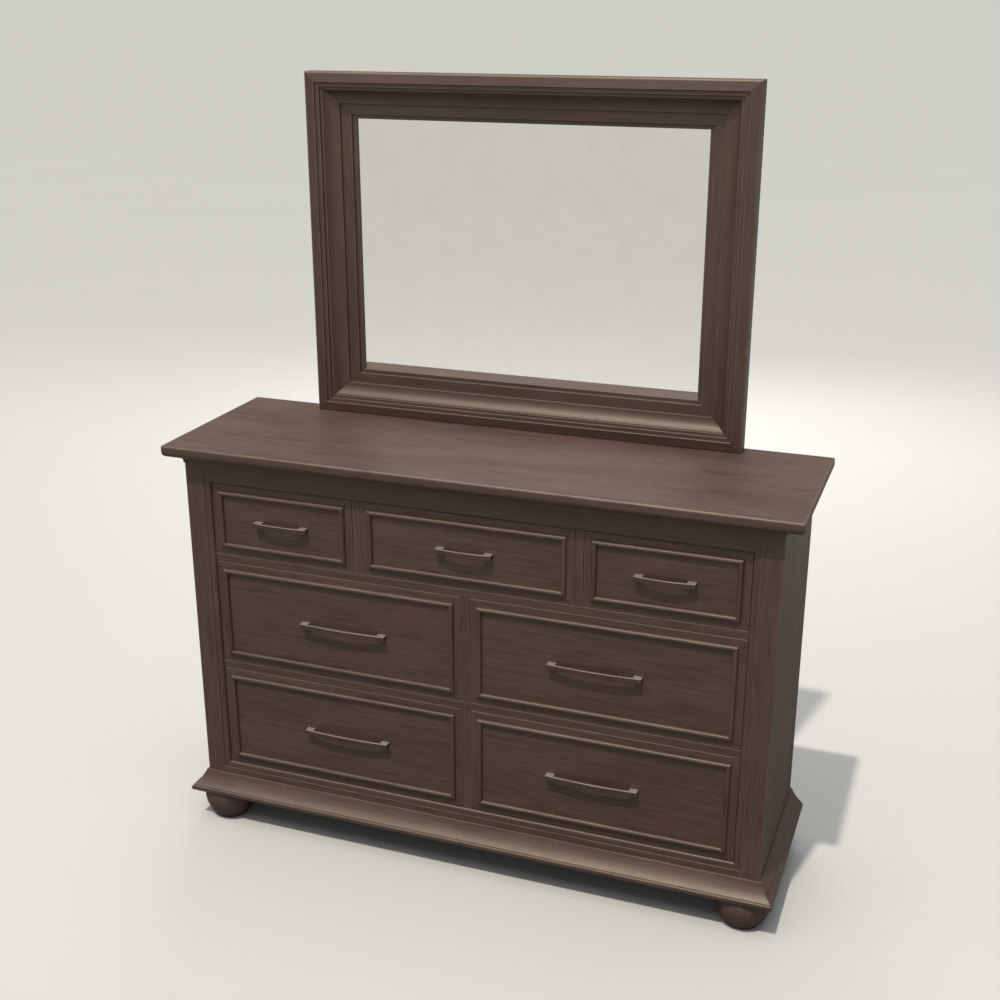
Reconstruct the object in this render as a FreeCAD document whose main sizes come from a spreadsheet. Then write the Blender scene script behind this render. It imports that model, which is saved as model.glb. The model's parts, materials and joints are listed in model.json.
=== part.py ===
import FreeCAD, Part
import math
import os
import re

import Sketcher

# Dressing chest with a framed mirror: seven drawers in three rows behind a face frame, moulded base,
# turned bun feet, and a mirror in a mitred frame that stands on the top and is held by two battens.
# Millimetres. X runs to the right, Y to the back, Z up. The origin is on the floor below the middle
# of the overall box, so the front edge of the top and the back of the battens are equally far from it.

SIZES = {
    # Sides of the prisms that stand for slim round rods and bores
    "rod_sides": 6,
    # Top board
    "top_width": 1524,
    "top_depth": 465,
    "top_thick": 28,
    "top_round": 4,
    "top_ease": 2.5,
    # Heights, from the floor up
    "foot_height": 81.5,
    "base_board_thick": 20,
    "bottom_rail_height": 66.5,
    "deep_row": 270.5,
    "shallow_row": 183,
    "rail_height": 20,
    "frieze_height": 65,
    # Face frame
    "case_width": 1441,
    "face_setback": 36,
    "face_thick": 30,
    "stile_width": 64.5,
    "mullion_width": 20,
    "mullion_offset": 272.3,
    "recess": 8,
    "arris": 2,
    # Moulding planted round the drawer opening
    "trim_width": 16,
    "trim_depth": 14,
    "trim_step": 2,
    "trim_round": 6,
    # Carcase boards
    "end_thick": 19,
    "board_thick": 18,
    "back_thick": 6,
    "back_rebate": 10,
    "back_rail_height": 67,
    # Cove moulding under the top
    "cove_reach": 16,
    "cove_height": 19,
    "cove_radius": 13,
    "cove_lip": 3,
    "cove_toe": 2,
    # Base moulding: nosing, quirk, lip, shallow cove and a ledge at the case
    "base_reach": 35,
    "base_height": 54,
    "nose_height": 16,
    "nose_under": 8,
    "nose_over": 5,
    "quirk_height": 2,
    "lip_reach": 33,
    "lip_height": 1.5,
    "scotia_radius": 62,
    "scotia_ledge": 4,
    # Bun feet and the bolts that hold them to the base board
    "foot_radius": 62,
    "foot_top_radius": 56,
    "foot_belly": 62,
    "foot_pad_radius": 36,
    "foot_pad_height": 9,
    "foot_groove": 2,
    "foot_flank": 66,
    "foot_shoulder": 75,
    "foot_inset_x": 40.5,
    "foot_inset_y": 69,
    "bolt_radius": 4,
    "bolt_bore": 4.2,
    "bolt_in_foot": 45,
    # Drawer fronts: border, bead and sunk panel
    "front_gap": 1.7,
    "panel_thick": 17,
    "border_edge": 3,
    "border_rise": 0.6,
    "bead_inset": 24,
    "bead_radius": 6,
    "bead_base": 2,
    # Drawer boxes, guides and stops
    "box_gap": 4,
    "box_depth": 375,
    "box_board": 12,
    "bottom_thick": 5,
    "bottom_lift": 12.5,
    "deep_side": 215,
    "shallow_side": 130,
    "guide_width": 20,
    "guide_height": 9,
    "guide_play": 0.7,
    "runner_width": 14,
    "runner_lift": 1,
    "stop_height": 2.5,
    "stop_length": 12,
    "stop_setback": 66,
    "lug_height": 3,
    "lug_inset": 10,
    # Bow pulls and their screws
    "short_pull": 138,
    "long_pull": 223,
    "pull_height": 12,
    "pull_reach": 21,
    "pull_bow": 5.5,
    "pull_bar": 5,
    "pull_post": 20,
    "pull_shift": 18,
    "screw_radius": 2,
    "screw_bore": 2.4,
    "screw_grip": 11,
    "screw_head_radius": 4.2,
    "screw_head": 2.6,
    # Mirror frame: outer band, two small steps, cove, fascia and inner flat, each ledge deeper in.
    # The widths are those of the rails, and the stiles are the same moulding made a little wider
    "mirror_width": 1102,
    "mirror_height": 840,
    "mirror_depth": 54,
    "mirror_round": 4,
    "frame_width": 109.5,
    "stile_stretch": 1.073,
    "band_width": 24.5,
    "band_ledge": 4.5,
    "step_one": 34.5,
    "step_one_depth": 10,
    "step_two": 41.5,
    "step_two_depth": 13,
    "hollow_start": 43.5,
    "hollow_end": 73.5,
    "hollow_depth": 29,
    "fascia_depth": 35,
    "fascia_end": 99.5,
    "lip_depth": 40.5,
    "bevel_width": 12,
    "bevel_depth": 10,
    "glass_depth": 47,
    "glass_rebate": 10,
    "glass_thick": 4,
    "glass_play": 1,
    # Battens behind the mirror and case, with their screws
    "support_thick": 18,
    "support_width": 70,
    "support_offset": 300,
    "support_foot": 640,
    "support_top_inset": 30,
    "wood_screw_radius": 2.3,
    "wood_screw_bore": 2.5,
    "wood_screw_reach": 20,
    "wood_head_radius": 5.5,
    "wood_head_bore": 6,
    "wood_head": 3,
    "wood_head_sink": 4,
    "case_screw_drop": 20,
    "case_screw_pitch": 26,
    "mirror_screw_inset": 60,
}

# Places worked out from the driving sizes, as expressions
FRONT_EDGE = "(-(top_depth + support_thick) / 2)"
BACK_PLANE = "((top_depth - support_thick) / 2)"
FACE_PLANE = f"({FRONT_EDGE} + face_setback)"
RECESS_PLANE = f"({FACE_PLANE} + recess)"
FACE_BACK = f"({FACE_PLANE} + face_thick)"
PANEL_PLANE = f"({RECESS_PLANE} + border_edge)"
BOX_FRONT = f"({PANEL_PLANE} + panel_thick)"
SCREW_TIP = f"({PANEL_PLANE} - screw_grip)"
SCREW_SEAT = f"({BOX_FRONT} + box_board)"
BACK_INSIDE = f"({BACK_PLANE} - back_thick)"
INNER_WIDTH = "(case_width - 2 * end_thick)"
OPENING_WIDTH = "(case_width - 2 * stile_width)"
CASE_FOOT = "(foot_height + base_board_thick)"
BOTTOM_ROW = f"({CASE_FOOT} + bottom_rail_height)"
MIDDLE_ROW = f"({BOTTOM_ROW} + deep_row + rail_height)"
TOP_ROW = f"({MIDDLE_ROW} + deep_row + rail_height)"
FRIEZE_FOOT = f"({TOP_ROW} + shallow_row)"
TOP_UNDERSIDE = f"({FRIEZE_FOOT} + frieze_height)"
TOP_SURFACE = f"({TOP_UNDERSIDE} + top_thick)"
CASE_HEIGHT = f"({TOP_UNDERSIDE} - {CASE_FOOT})"
MIRROR_FRONT = f"({BACK_PLANE} - mirror_depth)"
NEAR = 0.01

doc = FreeCAD.newDocument("dressing_chest")
sheet = doc.addObject("Spreadsheet::Sheet", "Sizes")
nodes = []


def fillSheet():
    for row, (alias, value) in enumerate(SIZES.items(), start=1):
        sheet.set(f"A{row}", alias)
        sheet.set(f"B{row}", str(value))
        sheet.setAlias(f"B{row}", alias)
    doc.recompute()


def bound(expression):
    # The expression with every size read from the sheet
    return re.sub(r"[a-z_]+", lambda word: f"Sizes.{word[0]}" if word[0] in SIZES else word[0], expression)


def number(expression):
    return float(sheet.evalExpression(bound(expression)))


def bind(item, **values):
    for name, expression in values.items():
        item.setExpression(name, bound(expression))


def place(item, x="0", y="0", z="0", axis=(0, 0, 1), angle=0):
    item.Placement = FreeCAD.Placement(FreeCAD.Vector(), FreeCAD.Rotation(FreeCAD.Vector(*axis), angle))
    for name, expression in (("x", x), ("y", y), ("z", z)):
        item.setExpression(f"Placement.Base.{name}", bound(expression))
    return item


def node(item, label):
    item.Label = label
    nodes.append(item)
    return item


def group(label, pieces):
    # Separate solids that share one name
    item = doc.addObject("Part::Compound", label)
    item.Links = pieces
    return node(item, label)


def board(name, x, y, z, length, width, height):
    # A plain board from its lowest corner
    item = doc.addObject("Part::Box", name)
    bind(item, Length=length, Width=width, Height=height)
    return place(item, x, y, z)


def rod(name, x, y, z, radius, length, upright=False):
    # A slim bolt, screw or bore along Y, or along Z where upright, with few sides for a round
    item = doc.addObject("Part::Prism", name)
    bind(item, Polygon="rod_sides", Circumradius=radius, Height=length)
    return place(item, x, y, z, (1, 0, 0), 0 if upright else -90)


def screw(name, x, tip, seat, z, radius, head_radius, head):
    # A screw driven towards the front, with its head behind the seat
    shank = rod(f"{name}_shank", x, tip, z, radius, f"{seat} - {tip}")
    cap = rod(f"{name}_head", x, seat, z, head_radius, head)
    return fuse(name, [shank, cap])


def cut(name, base, tool):
    item = doc.addObject("Part::Cut", name)
    item.Base = base
    item.Tool = tool
    return item


def fuse(name, pieces):
    item = doc.addObject("Part::MultiFuse", name)
    item.Shapes = pieces
    return item


def roundedCorner(before, corner, after):
    # A corner between two sides along the axes, as the two ends of its arc and the arc itself
    x, y, radius = corner

    def towards(point):
        steps = []
        for value, other in ((x, point[0]), (y, point[1])):
            away = number(other) - number(value)
            steps.append(0 if abs(away) < NEAR else math.copysign(1, away))
        return steps

    ends = [(f"{x} + {step[0]:g} * {radius}", f"{y} + {step[1]:g} * {radius}")
            for step in (towards(before), towards(after))]
    into, out = towards(before), towards(after)
    turn = -math.copysign(1, into[0] * out[1] - into[1] * out[0])
    return [ends[0] + ("arc", radius, turn), ends[1]]


def expanded(loop):
    # Loop points are (x, y), (x, y, corner radius) or (x, y, "arc", radius, turn), where the arc
    # leaves the point and turn is 1 with its centre to the left and -1 with its centre to the right
    points = []
    for index, point in enumerate(loop):
        if len(point) == 3:
            points += roundedCorner(loop[index - 1], point, loop[(index + 1) % len(loop)])
        else:
            points.append(point)
    return points


def arcBetween(start, end, radius, turn):
    chord = end - start
    middle = (start + end) * 0.5
    left = FreeCAD.Vector(-chord.y, chord.x, 0).normalize()
    rise = math.sqrt(max(radius ** 2 - (chord.Length / 2) ** 2, 0))
    centre = middle + left * (rise * turn)
    angles = [math.atan2(point.y - centre.y, point.x - centre.x) for point in (start, end)]
    if turn < 0:
        angles.reverse()
    circle = Part.Circle(centre, FreeCAD.Vector(0, 0, 1), radius)
    return Part.ArcOfCircle(circle, *angles)


def sketch(body, name, plane, loops):
    # Closed loops on one of the body's own planes, every corner bound to the sheet
    item = body.newObject("Sketcher::SketchObject", name)
    support = [feature for feature in body.Origin.OriginFeatures if feature.Role == plane][0]
    item.AttachmentSupport = [(support, "")]
    item.MapMode = "FlatFace"
    rules, formulas = [], []

    def rule(kind, *values, formula=None):
        if formula:
            formulas.append((len(rules), formula))
        rules.append(Sketcher.Constraint(kind, *values))

    for loop in loops:
        points = expanded(loop)
        places = [FreeCAD.Vector(number(point[0]), number(point[1]), 0) for point in points]
        ends = []
        for index, point in enumerate(points):
            start, end = places[index], places[(index + 1) % len(points)]
            if len(point) > 2:
                edge = item.addGeometry(arcBetween(start, end, number(point[3]), point[4]), False)
                ends.append((edge, 1, 2) if point[4] > 0 else (edge, 2, 1))
                rule("Radius", edge, number(point[3]), formula=point[3])
            else:
                edge = item.addGeometry(Part.LineSegment(start, end), False)
                ends.append((edge, 1, 2))
        for index, point in enumerate(points):
            edge, first, last = ends[index]
            following = ends[(index + 1) % len(points)]
            rule("Coincident", edge, last, following[0], following[1])
            for kind, value, formula, axis in (
                ("DistanceX", places[index].x, point[0], -2),
                ("DistanceY", places[index].y, point[1], -1),
            ):
                if formula == "0":
                    rule("PointOnObject", edge, first, axis)
                else:
                    rule(kind, -1, 1, edge, first, value, formula=formula)
    item.addConstraint(rules)
    for index, formula in formulas:
        item.setExpression(f"Constraints[{index}]", bound(formula))
    return item


def newBody(name):
    return doc.addObject("PartDesign::Body", name)


def pad(body, profile, length, side="One side", reverse=False):
    item = body.newObject("PartDesign::Pad", f"{profile.Name}_pad")
    item.Profile = profile
    item.SideType = side
    item.Reversed = reverse
    bind(item, Length=length)
    return item


def pocketThrough(body, profile):
    # A pocket right through on both sides of its sketch
    item = body.newObject("PartDesign::Pocket", f"{profile.Name}_pocket")
    item.Profile = profile
    item.Type = "ThroughAll"
    item.SideType = "Symmetric"
    return item


def soften(body, radius, chosen):
    # Rounds the edges of the body's last feature that pass the test
    doc.recompute()
    base = body.Tip
    edges = [f"Edge{index}" for index, edge in enumerate(base.Shape.Edges, start=1) if chosen(edge)]
    item = body.newObject("PartDesign::Fillet", f"{body.Name}_soften")
    item.Base = (base, edges)
    bind(item, Radius=radius)
    return item


def mouldedLength(name, section, start, length, plane, wastes):
    # A length of moulding along X with its ends cut by the triangles that the mitres take off
    body = newBody(name)
    profile = sketch(body, f"{name}_section", "YZ_Plane", [section])
    profile.setExpression("AttachmentOffset.Base.z", bound(start))
    pad(body, profile, length)
    pocketThrough(body, sketch(body, f"{name}_mitres", plane, wastes))
    return body


def mitredFrame(names, level, upright, width, height, y, z):
    # Four lengths round a rectangle, outer edge on local Z 0 and inward along local Z. The level and the
    # upright members each have a section and its width
    sides = (
        (level, upright, width, "0", z, 0),
        (upright, level, height, f"{width} / 2", f"{z} + {height} / 2", -90),
        (level, upright, width, "0", f"{z} + {height}", 180),
        (upright, level, height, f"-{width} / 2", f"{z} + {height} / 2", 90),
    )
    pieces = []
    for name, ((section, across), (_, across_next), run, x, up, angle) in zip(names, sides):
        wastes = [
            [(f"{side} * {run} / 2", "0"), (f"{side} * {run} / 2", across),
             (f"{side} * ({run} / 2 - {across_next})", across)]
            for side in (1, -1)
        ]
        body = mouldedLength(name, section, f"-{run} / 2", run, "XZ_Plane", wastes)
        pieces.append(place(body, x, y, up, (0, 1, 0), angle))
    return pieces


def skirt(prefix, section, reach, z):
    # Three lengths of one section round the front and sides of the case, mitred at the front corners
    depth = f"(top_depth - face_setback + {reach})"
    front_run = f"(case_width + 2 * {reach})"
    front_wastes = [
        [(f"{side} * {front_run} / 2", "0"), (f"{side} * case_width / 2", "0"),
         (f"{side} * {front_run} / 2", f"-{reach}")]
        for side in (1, -1)
    ]
    front_start = f"-{front_run} / 2"
    front = mouldedLength(f"{prefix}_front", section, front_start, front_run, "XY_Plane", front_wastes)
    node(place(front, "0", FACE_PLANE, z), f"{prefix}_front")
    right_waste = [("0", "0"), (reach, "0"), ("0", f"-{reach}")]
    right = mouldedLength(f"{prefix}_right", section, "0", depth, "XY_Plane", [right_waste])
    node(place(right, "case_width / 2", f"{FACE_PLANE} - {reach}", z, angle=90), f"{prefix}_right")
    left_waste = [(depth, "0"), (f"{depth} - {reach}", "0"), (depth, f"-{reach}")]
    left = mouldedLength(f"{prefix}_left", section, "0", depth, "XY_Plane", [left_waste])
    node(place(left, "-case_width / 2", BACK_PLANE, z, angle=-90), f"{prefix}_left")


def buildTop():
    body = newBody("top_board")
    half = "top_width / 2"
    outline = [(f"-{half}", "0"), (half, "0"), (half, "top_depth"), (f"-{half}", "top_depth")]
    pad(body, sketch(body, "top_outline", "XY_Plane", [outline]), "top_thick")
    upper = number("top_thick")
    soften(body, "top_round", lambda edge: edge.BoundBox.ZMin > upper - NEAR)
    soften(body, "top_ease", lambda edge: edge.BoundBox.ZMax < NEAR)
    node(place(body, "0", FRONT_EDGE, TOP_UNDERSIDE), "top_board")

    toe, lip, radius = "cove_toe", "cove_lip", "cove_radius"
    section = [
        ("0", "0"),
        (f"-{toe}", "0"),
        (f"-{toe}", lip, "arc", radius, 1),
        (f"-{toe} - {radius}", f"{lip} + {radius}"),
        ("-cove_reach", f"{lip} + {radius}"),
        ("-cove_reach", "cove_height"),
        ("0", "cove_height"),
    ]
    skirt("cornice", section, "cove_reach", f"{TOP_UNDERSIDE} - cove_height")


def buildEnds():
    for side, name in ((-1, "left"), (1, "right")):
        inward = -side
        stile = newBody(f"{name}_stile")
        shoulder = f"{inward} * (stile_width - trim_width)"
        section = [
            ("0", "0", "arris"),
            (shoulder, "0"),
            (shoulder, "trim_depth"),
            (f"{inward} * stile_width", "trim_depth"),
            (f"{inward} * stile_width", "face_thick"),
            ("0", "face_thick"),
        ]
        pad(stile, sketch(stile, f"{name}_stile_section", "XY_Plane", [section]), CASE_HEIGHT)
        node(place(stile, f"{side} * case_width / 2", FACE_PLANE, CASE_FOOT), f"{name}_stile")

        panel = newBody(f"{name}_end")
        depth = "(top_depth - face_setback - face_thick)"
        section = [
            ("0", "0"),
            (f"{inward} * end_thick", "0"),
            (f"{inward} * end_thick", f"{depth} - back_thick"),
            (f"{inward} * (end_thick - back_rebate)", f"{depth} - back_thick"),
            (f"{inward} * (end_thick - back_rebate)", depth),
            ("0", depth),
        ]
        pad(panel, sketch(panel, f"{name}_end_section", "XY_Plane", [section]), CASE_HEIGHT)
        node(place(panel, f"{side} * case_width / 2", FACE_BACK, CASE_FOOT), f"{name}_end")


def lappedRail(name, z, height, front_z):
    # The wide rails lap over the stiles' rebates with their front layer
    front_height = f"({height} - trim_width)"
    layers = [
        board(f"{name}_back", f"-{OPENING_WIDTH} / 2", f"{FACE_PLANE} + trim_depth", z,
              OPENING_WIDTH, "face_thick - trim_depth", height),
        board(f"{name}_face", f"-{OPENING_WIDTH} / 2 - trim_width", FACE_PLANE, front_z,
              f"{OPENING_WIDTH} + 2 * trim_width", "trim_depth", front_height),
    ]
    node(fuse(name, layers), name)


def buildFaceFrame():
    lappedRail("frieze_rail", FRIEZE_FOOT, "frieze_height", f"{FRIEZE_FOOT} + trim_width")
    lappedRail("bottom_rail", CASE_FOOT, "bottom_rail_height", CASE_FOOT)

    # Step, flat band and quarter round, running down to the recessed drawer fronts
    section = [
        ("trim_step", "0"),
        ("trim_step", "trim_width - trim_round", "arc", "trim_round", -1),
        ("trim_step + trim_round", "trim_width"),
        ("trim_depth", "trim_width"),
        ("trim_depth", "0"),
    ]
    names = [f"opening_trim_{side}" for side in ("bottom", "right", "top", "left")]
    width = f"({OPENING_WIDTH} + 2 * trim_width)"
    height = f"({FRIEZE_FOOT} - {BOTTOM_ROW} + 2 * trim_width)"
    length = (section, "trim_width")
    group("opening_trim", mitredFrame(names, length, length, width, height,
                                      FACE_PLANE, f"{BOTTOM_ROW} - trim_width"))

    depth = "face_thick - recess"
    for name, row in (("upper_rail", TOP_ROW), ("lower_rail", MIDDLE_ROW)):
        body = newBody(name)
        section = [("0", "0", "arris"), (depth, "0"), (depth, "rail_height"), ("0", "rail_height", "arris")]
        pad(body, sketch(body, f"{name}_section", "YZ_Plane", [section]), OPENING_WIDTH, "Symmetric")
        node(place(body, "0", RECESS_PLANE, f"{row} - rail_height"), name)

    spots = {
        "upper_mullions": ("shallow_row", [("-mullion_offset", TOP_ROW), ("mullion_offset", TOP_ROW)]),
        "lower_mullions": ("deep_row", [("0", MIDDLE_ROW), ("0", BOTTOM_ROW)]),
    }
    half = "mullion_width / 2"
    section = [(f"-{half}", "0", "arris"), (half, "0", "arris"), (half, depth), (f"-{half}", depth)]
    for label, (height, places) in spots.items():
        pieces = []
        for index, (x, z) in enumerate(places):
            body = newBody(f"{label}_{index}")
            pad(body, sketch(body, f"{label}_section_{index}", "XY_Plane", [section]), height)
            pieces.append(place(body, x, RECESS_PLANE, z))
        group(label, pieces)


def buildCarcase(screw_bores):
    depth = f"({BACK_INSIDE} - {FACE_BACK})"
    left = f"-{INNER_WIDTH} / 2"
    decks = {"upper_dustboard": TOP_ROW, "lower_dustboard": MIDDLE_ROW, "bottom_board": BOTTOM_ROW}
    for name, row in decks.items():
        deck = board(name, left, FACE_BACK, f"{row} - board_thick", INNER_WIDTH, depth, "board_thick")
        node(deck, name)

    rail = board("back_rail_board", left, f"{BACK_INSIDE} - board_thick",
                 f"{TOP_UNDERSIDE} - back_rail_height", INNER_WIDTH, "board_thick", "back_rail_height")
    node(cut("back_rail", rail, screw_bores), "back_rail")

    partition_depth = f"({depth} - board_thick)"
    upper = [
        board(f"upper_partition_{index}", f"{side} * mullion_offset - board_thick / 2", FACE_BACK, TOP_ROW,
              "board_thick", partition_depth, f"{TOP_UNDERSIDE} - {TOP_ROW}")
        for index, side in enumerate((-1, 1))
    ]
    group("upper_partitions", upper)
    clear = "(deep_row + rail_height - board_thick)"
    lower = [
        board(f"centre_partition_{index}", "-board_thick / 2", FACE_BACK, row, "board_thick", depth, clear)
        for index, row in enumerate((BOTTOM_ROW, MIDDLE_ROW))
    ]
    group("centre_partitions", lower)

    width = f"({INNER_WIDTH} + 2 * back_rebate)"
    panel = board("back_panel_board", f"-{width} / 2", BACK_INSIDE, CASE_FOOT,
                  width, "back_thick", CASE_HEIGHT)
    node(cut("back_panel", panel, screw_bores), "back_panel")


def buildBase():
    over_nose = "nose_height + quirk_height"
    section = [
        ("0", "0"),
        ("-base_reach", "0", "nose_under"),
        ("-base_reach", "nose_height - nose_over", "arc", "nose_over", -1),
        ("-base_reach + nose_over", "nose_height"),
        ("-base_reach + nose_over", over_nose),
        ("-lip_reach", over_nose),
        ("-lip_reach", f"{over_nose} + lip_height", "arc", "scotia_radius", 1),
        ("-scotia_ledge", "base_height"),
        ("0", "base_height"),
    ]
    skirt("base", section, "base_reach", "foot_height")

    corners = {
        "front_feet": f"{FRONT_EDGE} + foot_inset_y",
        "rear_feet": f"{BACK_PLANE} - foot_inset_y",
    }
    bolt_end = "foot_height - bolt_in_foot"
    bolt_length = "bolt_in_foot + base_board_thick"
    bolts, bores = [], []
    for label, y in corners.items():
        feet = []
        for side, hand in ((-1, "left"), (1, "right")):
            x = f"{side} * (case_width / 2 - foot_inset_x)"
            name = f"{label}_{hand}"
            bolts.append(rod(f"{name}_bolt", x, y, bolt_end, "bolt_radius", bolt_length, upright=True))
            bores.append(rod(f"{name}_bore", x, y, bolt_end, "bolt_bore", bolt_length, upright=True))
            turning = place(bunFoot(f"{name}_turning"), x, y, "0")
            feet.append(cut(name, turning, bores[-1]))
        group(label, feet)
    group("foot_bolts", bolts)

    # The case stands on one board, which the feet are bolted to
    blank = board("base_blank", "-case_width / 2", FACE_PLANE, "foot_height",
                  "case_width", "top_depth - face_setback", "base_board_thick")
    node(cut("base_board", blank, fuse("bolt_bores", bores)), "base_board")


def bunFoot(name):
    # Turned foot: pad, groove, flank swelling to the belly, and a shoulder drawn in under the base
    body = newBody(name)
    profile = [
        ("0", "0"),
        ("foot_pad_radius", "0"),
        ("foot_pad_radius", "foot_pad_height"),
        ("foot_pad_radius - foot_groove", "foot_pad_height + foot_groove", "arc", "foot_flank", 1),
        ("foot_radius", "foot_belly", "arc", "foot_shoulder", 1),
        ("foot_top_radius", "foot_height"),
        ("0", "foot_height"),
    ]
    half_section = sketch(body, f"{name}_profile", "XZ_Plane", [profile])
    turned = body.newObject("PartDesign::Revolution", f"{name}_lathe")
    turned.Profile = half_section
    turned.ReferenceAxis = (half_section, ["V_Axis"])
    turned.Angle = 360
    return body


def drawerFront(name, width, height):
    # Sunk panel inside a border and a half-round bead that run round it with mitred corners
    body = newBody(f"{name}_face")
    half = f"({width} / 2)"
    slab = [(f"-{half}", "0"), (half, "0"), (half, height), (f"-{half}", height)]
    pad(body, sketch(body, f"{name}_slab", "XZ_Plane", [slab]), "panel_thick", reverse=True)

    brow = "(border_edge + border_rise)"
    foot = f"(bead_inset - sqrt(bead_radius ^ 2 - ({brow} - bead_base) ^ 2))"
    ring = [
        ("0", "0"),
        ("-border_edge", "0"),
        (f"-{brow}", foot, "arc", "bead_radius", -1),
        ("-bead_base - bead_radius", "bead_inset", "arc", "bead_radius", -1),
        ("-bead_base", "bead_inset + bead_radius"),
        ("0", "bead_inset + bead_radius"),
    ]
    path = [("0", "0"), (half, "0"), (half, height), (f"-{half}", height), (f"-{half}", "0")]
    run = sketch(body, f"{name}_path", "XZ_Plane", [path])
    border = body.newObject("PartDesign::AdditivePipe", f"{name}_border")
    border.Profile = sketch(body, f"{name}_ring", "YZ_Plane", [ring])
    border.Spine = (run, [f"Edge{index + 1}" for index in range(len(path))])
    border.Transition = "Right corner"
    return body


def drawerBox(name, x, z, width, side_height, bores):
    # Five boards, two runner strips astride the guide, and a lug that meets the guide's stop
    inside = f"({width} - 2 * box_board)"
    left = f"({x} - {width} / 2)"
    inner_left = f"({left} + box_board)"
    rear = f"({BOX_FRONT} + box_depth)"
    floor = f"({z} + bottom_lift)"
    deck = f"({floor} + bottom_thick)"
    upright = f"{side_height} - bottom_lift - bottom_thick"
    pieces = [
        board(f"{name}_side_left", left, BOX_FRONT, z, "box_board", "box_depth", side_height),
        board(f"{name}_side_right", f"{left} + {width} - box_board", BOX_FRONT, z,
              "box_board", "box_depth", side_height),
        board(f"{name}_bottom", inner_left, BOX_FRONT, floor, inside, "box_depth", "bottom_thick"),
        board(f"{name}_back", inner_left, f"{rear} - box_board", deck, inside, "box_board", upright),
    ]
    inner = board(f"{name}_inner_board", inner_left, BOX_FRONT, deck, inside, "box_board", upright)
    pieces.append(cut(f"{name}_inner_front", inner, bores))
    channel = "(guide_width / 2 + guide_play)"
    for index, start in enumerate((f"{x} - {channel} - runner_width", f"{x} + {channel}")):
        pieces.append(board(f"{name}_runner_{index}", start, BOX_FRONT, f"{z} + runner_lift",
                            "runner_width", "box_depth", "bottom_lift - runner_lift"))
    pieces.append(board(f"{name}_lug", f"{x} - guide_width / 2", f"{rear} - lug_inset - stop_length",
                        f"{floor} - lug_height", "guide_width", "stop_length", "lug_height"))
    group(f"{name}_box", pieces)


def pullBores(name, x, z, post_x):
    # Holes for the pull's two screws, from inside the posts to the drawer's inner front
    return fuse(f"{name}_bores", [
        rod(f"{name}_bore_{index}", f"{x} + {side} * {post_x}", SCREW_TIP, z, "screw_bore",
            f"{SCREW_SEAT} - {SCREW_TIP}")
        for index, side in enumerate((-1, 1))
    ])


def bowPull(name, x, z, length, post_x, bores):
    # Bowed flat bar on two square posts, one casting, with the two screws that hold it
    body = newBody(f"{name}_bow")
    half = f"({length} / 2)"
    shoulder = "(pull_reach - pull_bow)"
    radius = f"(({half} ^ 2 + pull_bow ^ 2) / (2 * pull_bow))"
    inner_radius = f"({radius} - pull_bar)"
    inner_x = f"({half} - pull_post)"
    inner_reach = f"(pull_reach - {radius} + sqrt({inner_radius} ^ 2 - {inner_x} ^ 2))"
    outline = [
        (f"-{half}", "0"),
        (f"-{half}", f"-{shoulder}", "arc", radius, 1),
        (half, f"-{shoulder}"),
        (half, "0"),
        (inner_x, "0"),
        (inner_x, f"-{inner_reach}", "arc", inner_radius, -1),
        (f"-{inner_x}", f"-{inner_reach}"),
        (f"-{inner_x}", "0"),
    ]
    pad(body, sketch(body, f"{name}_bow_outline", "XY_Plane", [outline]), "pull_height", "Symmetric")
    place(body, x, PANEL_PLANE, z)
    screws = [
        screw(f"{name}_screw_{index}", f"{x} + {side} * {post_x}", SCREW_TIP, SCREW_SEAT, z,
              "screw_radius", "screw_head_radius", "screw_head")
        for index, side in enumerate((-1, 1))
    ]
    group(f"{name}_pull", [cut(f"{name}_casting", body, bores)] + screws)


def buildDrawers():
    inner = "mullion_width / 2"
    side_x = f"({OPENING_WIDTH} / 2 + {inner}) / 2"
    side_width = f"({OPENING_WIDTH} / 2 - {inner})"
    outer_x = f"({OPENING_WIDTH} / 2 + mullion_offset + {inner}) / 2"
    outer_width = f"({OPENING_WIDTH} / 2 - mullion_offset - {inner})"
    middle_width = "(2 * mullion_offset - mullion_width)"
    shallow = (TOP_ROW, "shallow_row", "shallow_side", "short_pull")
    upper = (MIDDLE_ROW, "deep_row", "deep_side", "long_pull")
    lower = (BOTTOM_ROW, "deep_row", "deep_side", "long_pull")
    # Middle and width of each opening, how far the pull sits from the middle, and the row
    drawers = {
        "top_left": (f"(-{outer_x})", outer_width, "0", shallow),
        "top_middle": ("0", middle_width, "0", shallow),
        "top_right": (f"({outer_x})", outer_width, "0", shallow),
        "middle_left": (f"(-{side_x})", side_width, "pull_shift", upper),
        "middle_right": (f"({side_x})", side_width, "-pull_shift", upper),
        "bottom_left": (f"(-{side_x})", side_width, "pull_shift", lower),
        "bottom_right": (f"({side_x})", side_width, "-pull_shift", lower),
    }
    guides = []
    for name, (x, opening, shift, (row, row_height, side_height, pull)) in drawers.items():
        width = f"({opening} - 2 * front_gap)"
        height = f"({row_height} - 2 * front_gap)"
        grip_x = f"({x} + {shift})"
        grip_z = f"({row} + {row_height} / 2)"
        post_x = f"(({pull} - pull_post) / 2)"
        bores = pullBores(name, grip_x, grip_z, post_x)
        face = place(drawerFront(name, width, height), x, PANEL_PLANE, f"{row} + front_gap")
        node(cut(f"{name}_front", face, bores), f"{name}_front")
        drawerBox(name, x, row, f"({opening} - 2 * box_gap)", side_height, bores)
        bowPull(name, grip_x, grip_z, pull, post_x, bores)
        guides += drawerGuide(name, x, row)
    group("drawer_guides", guides)


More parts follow.
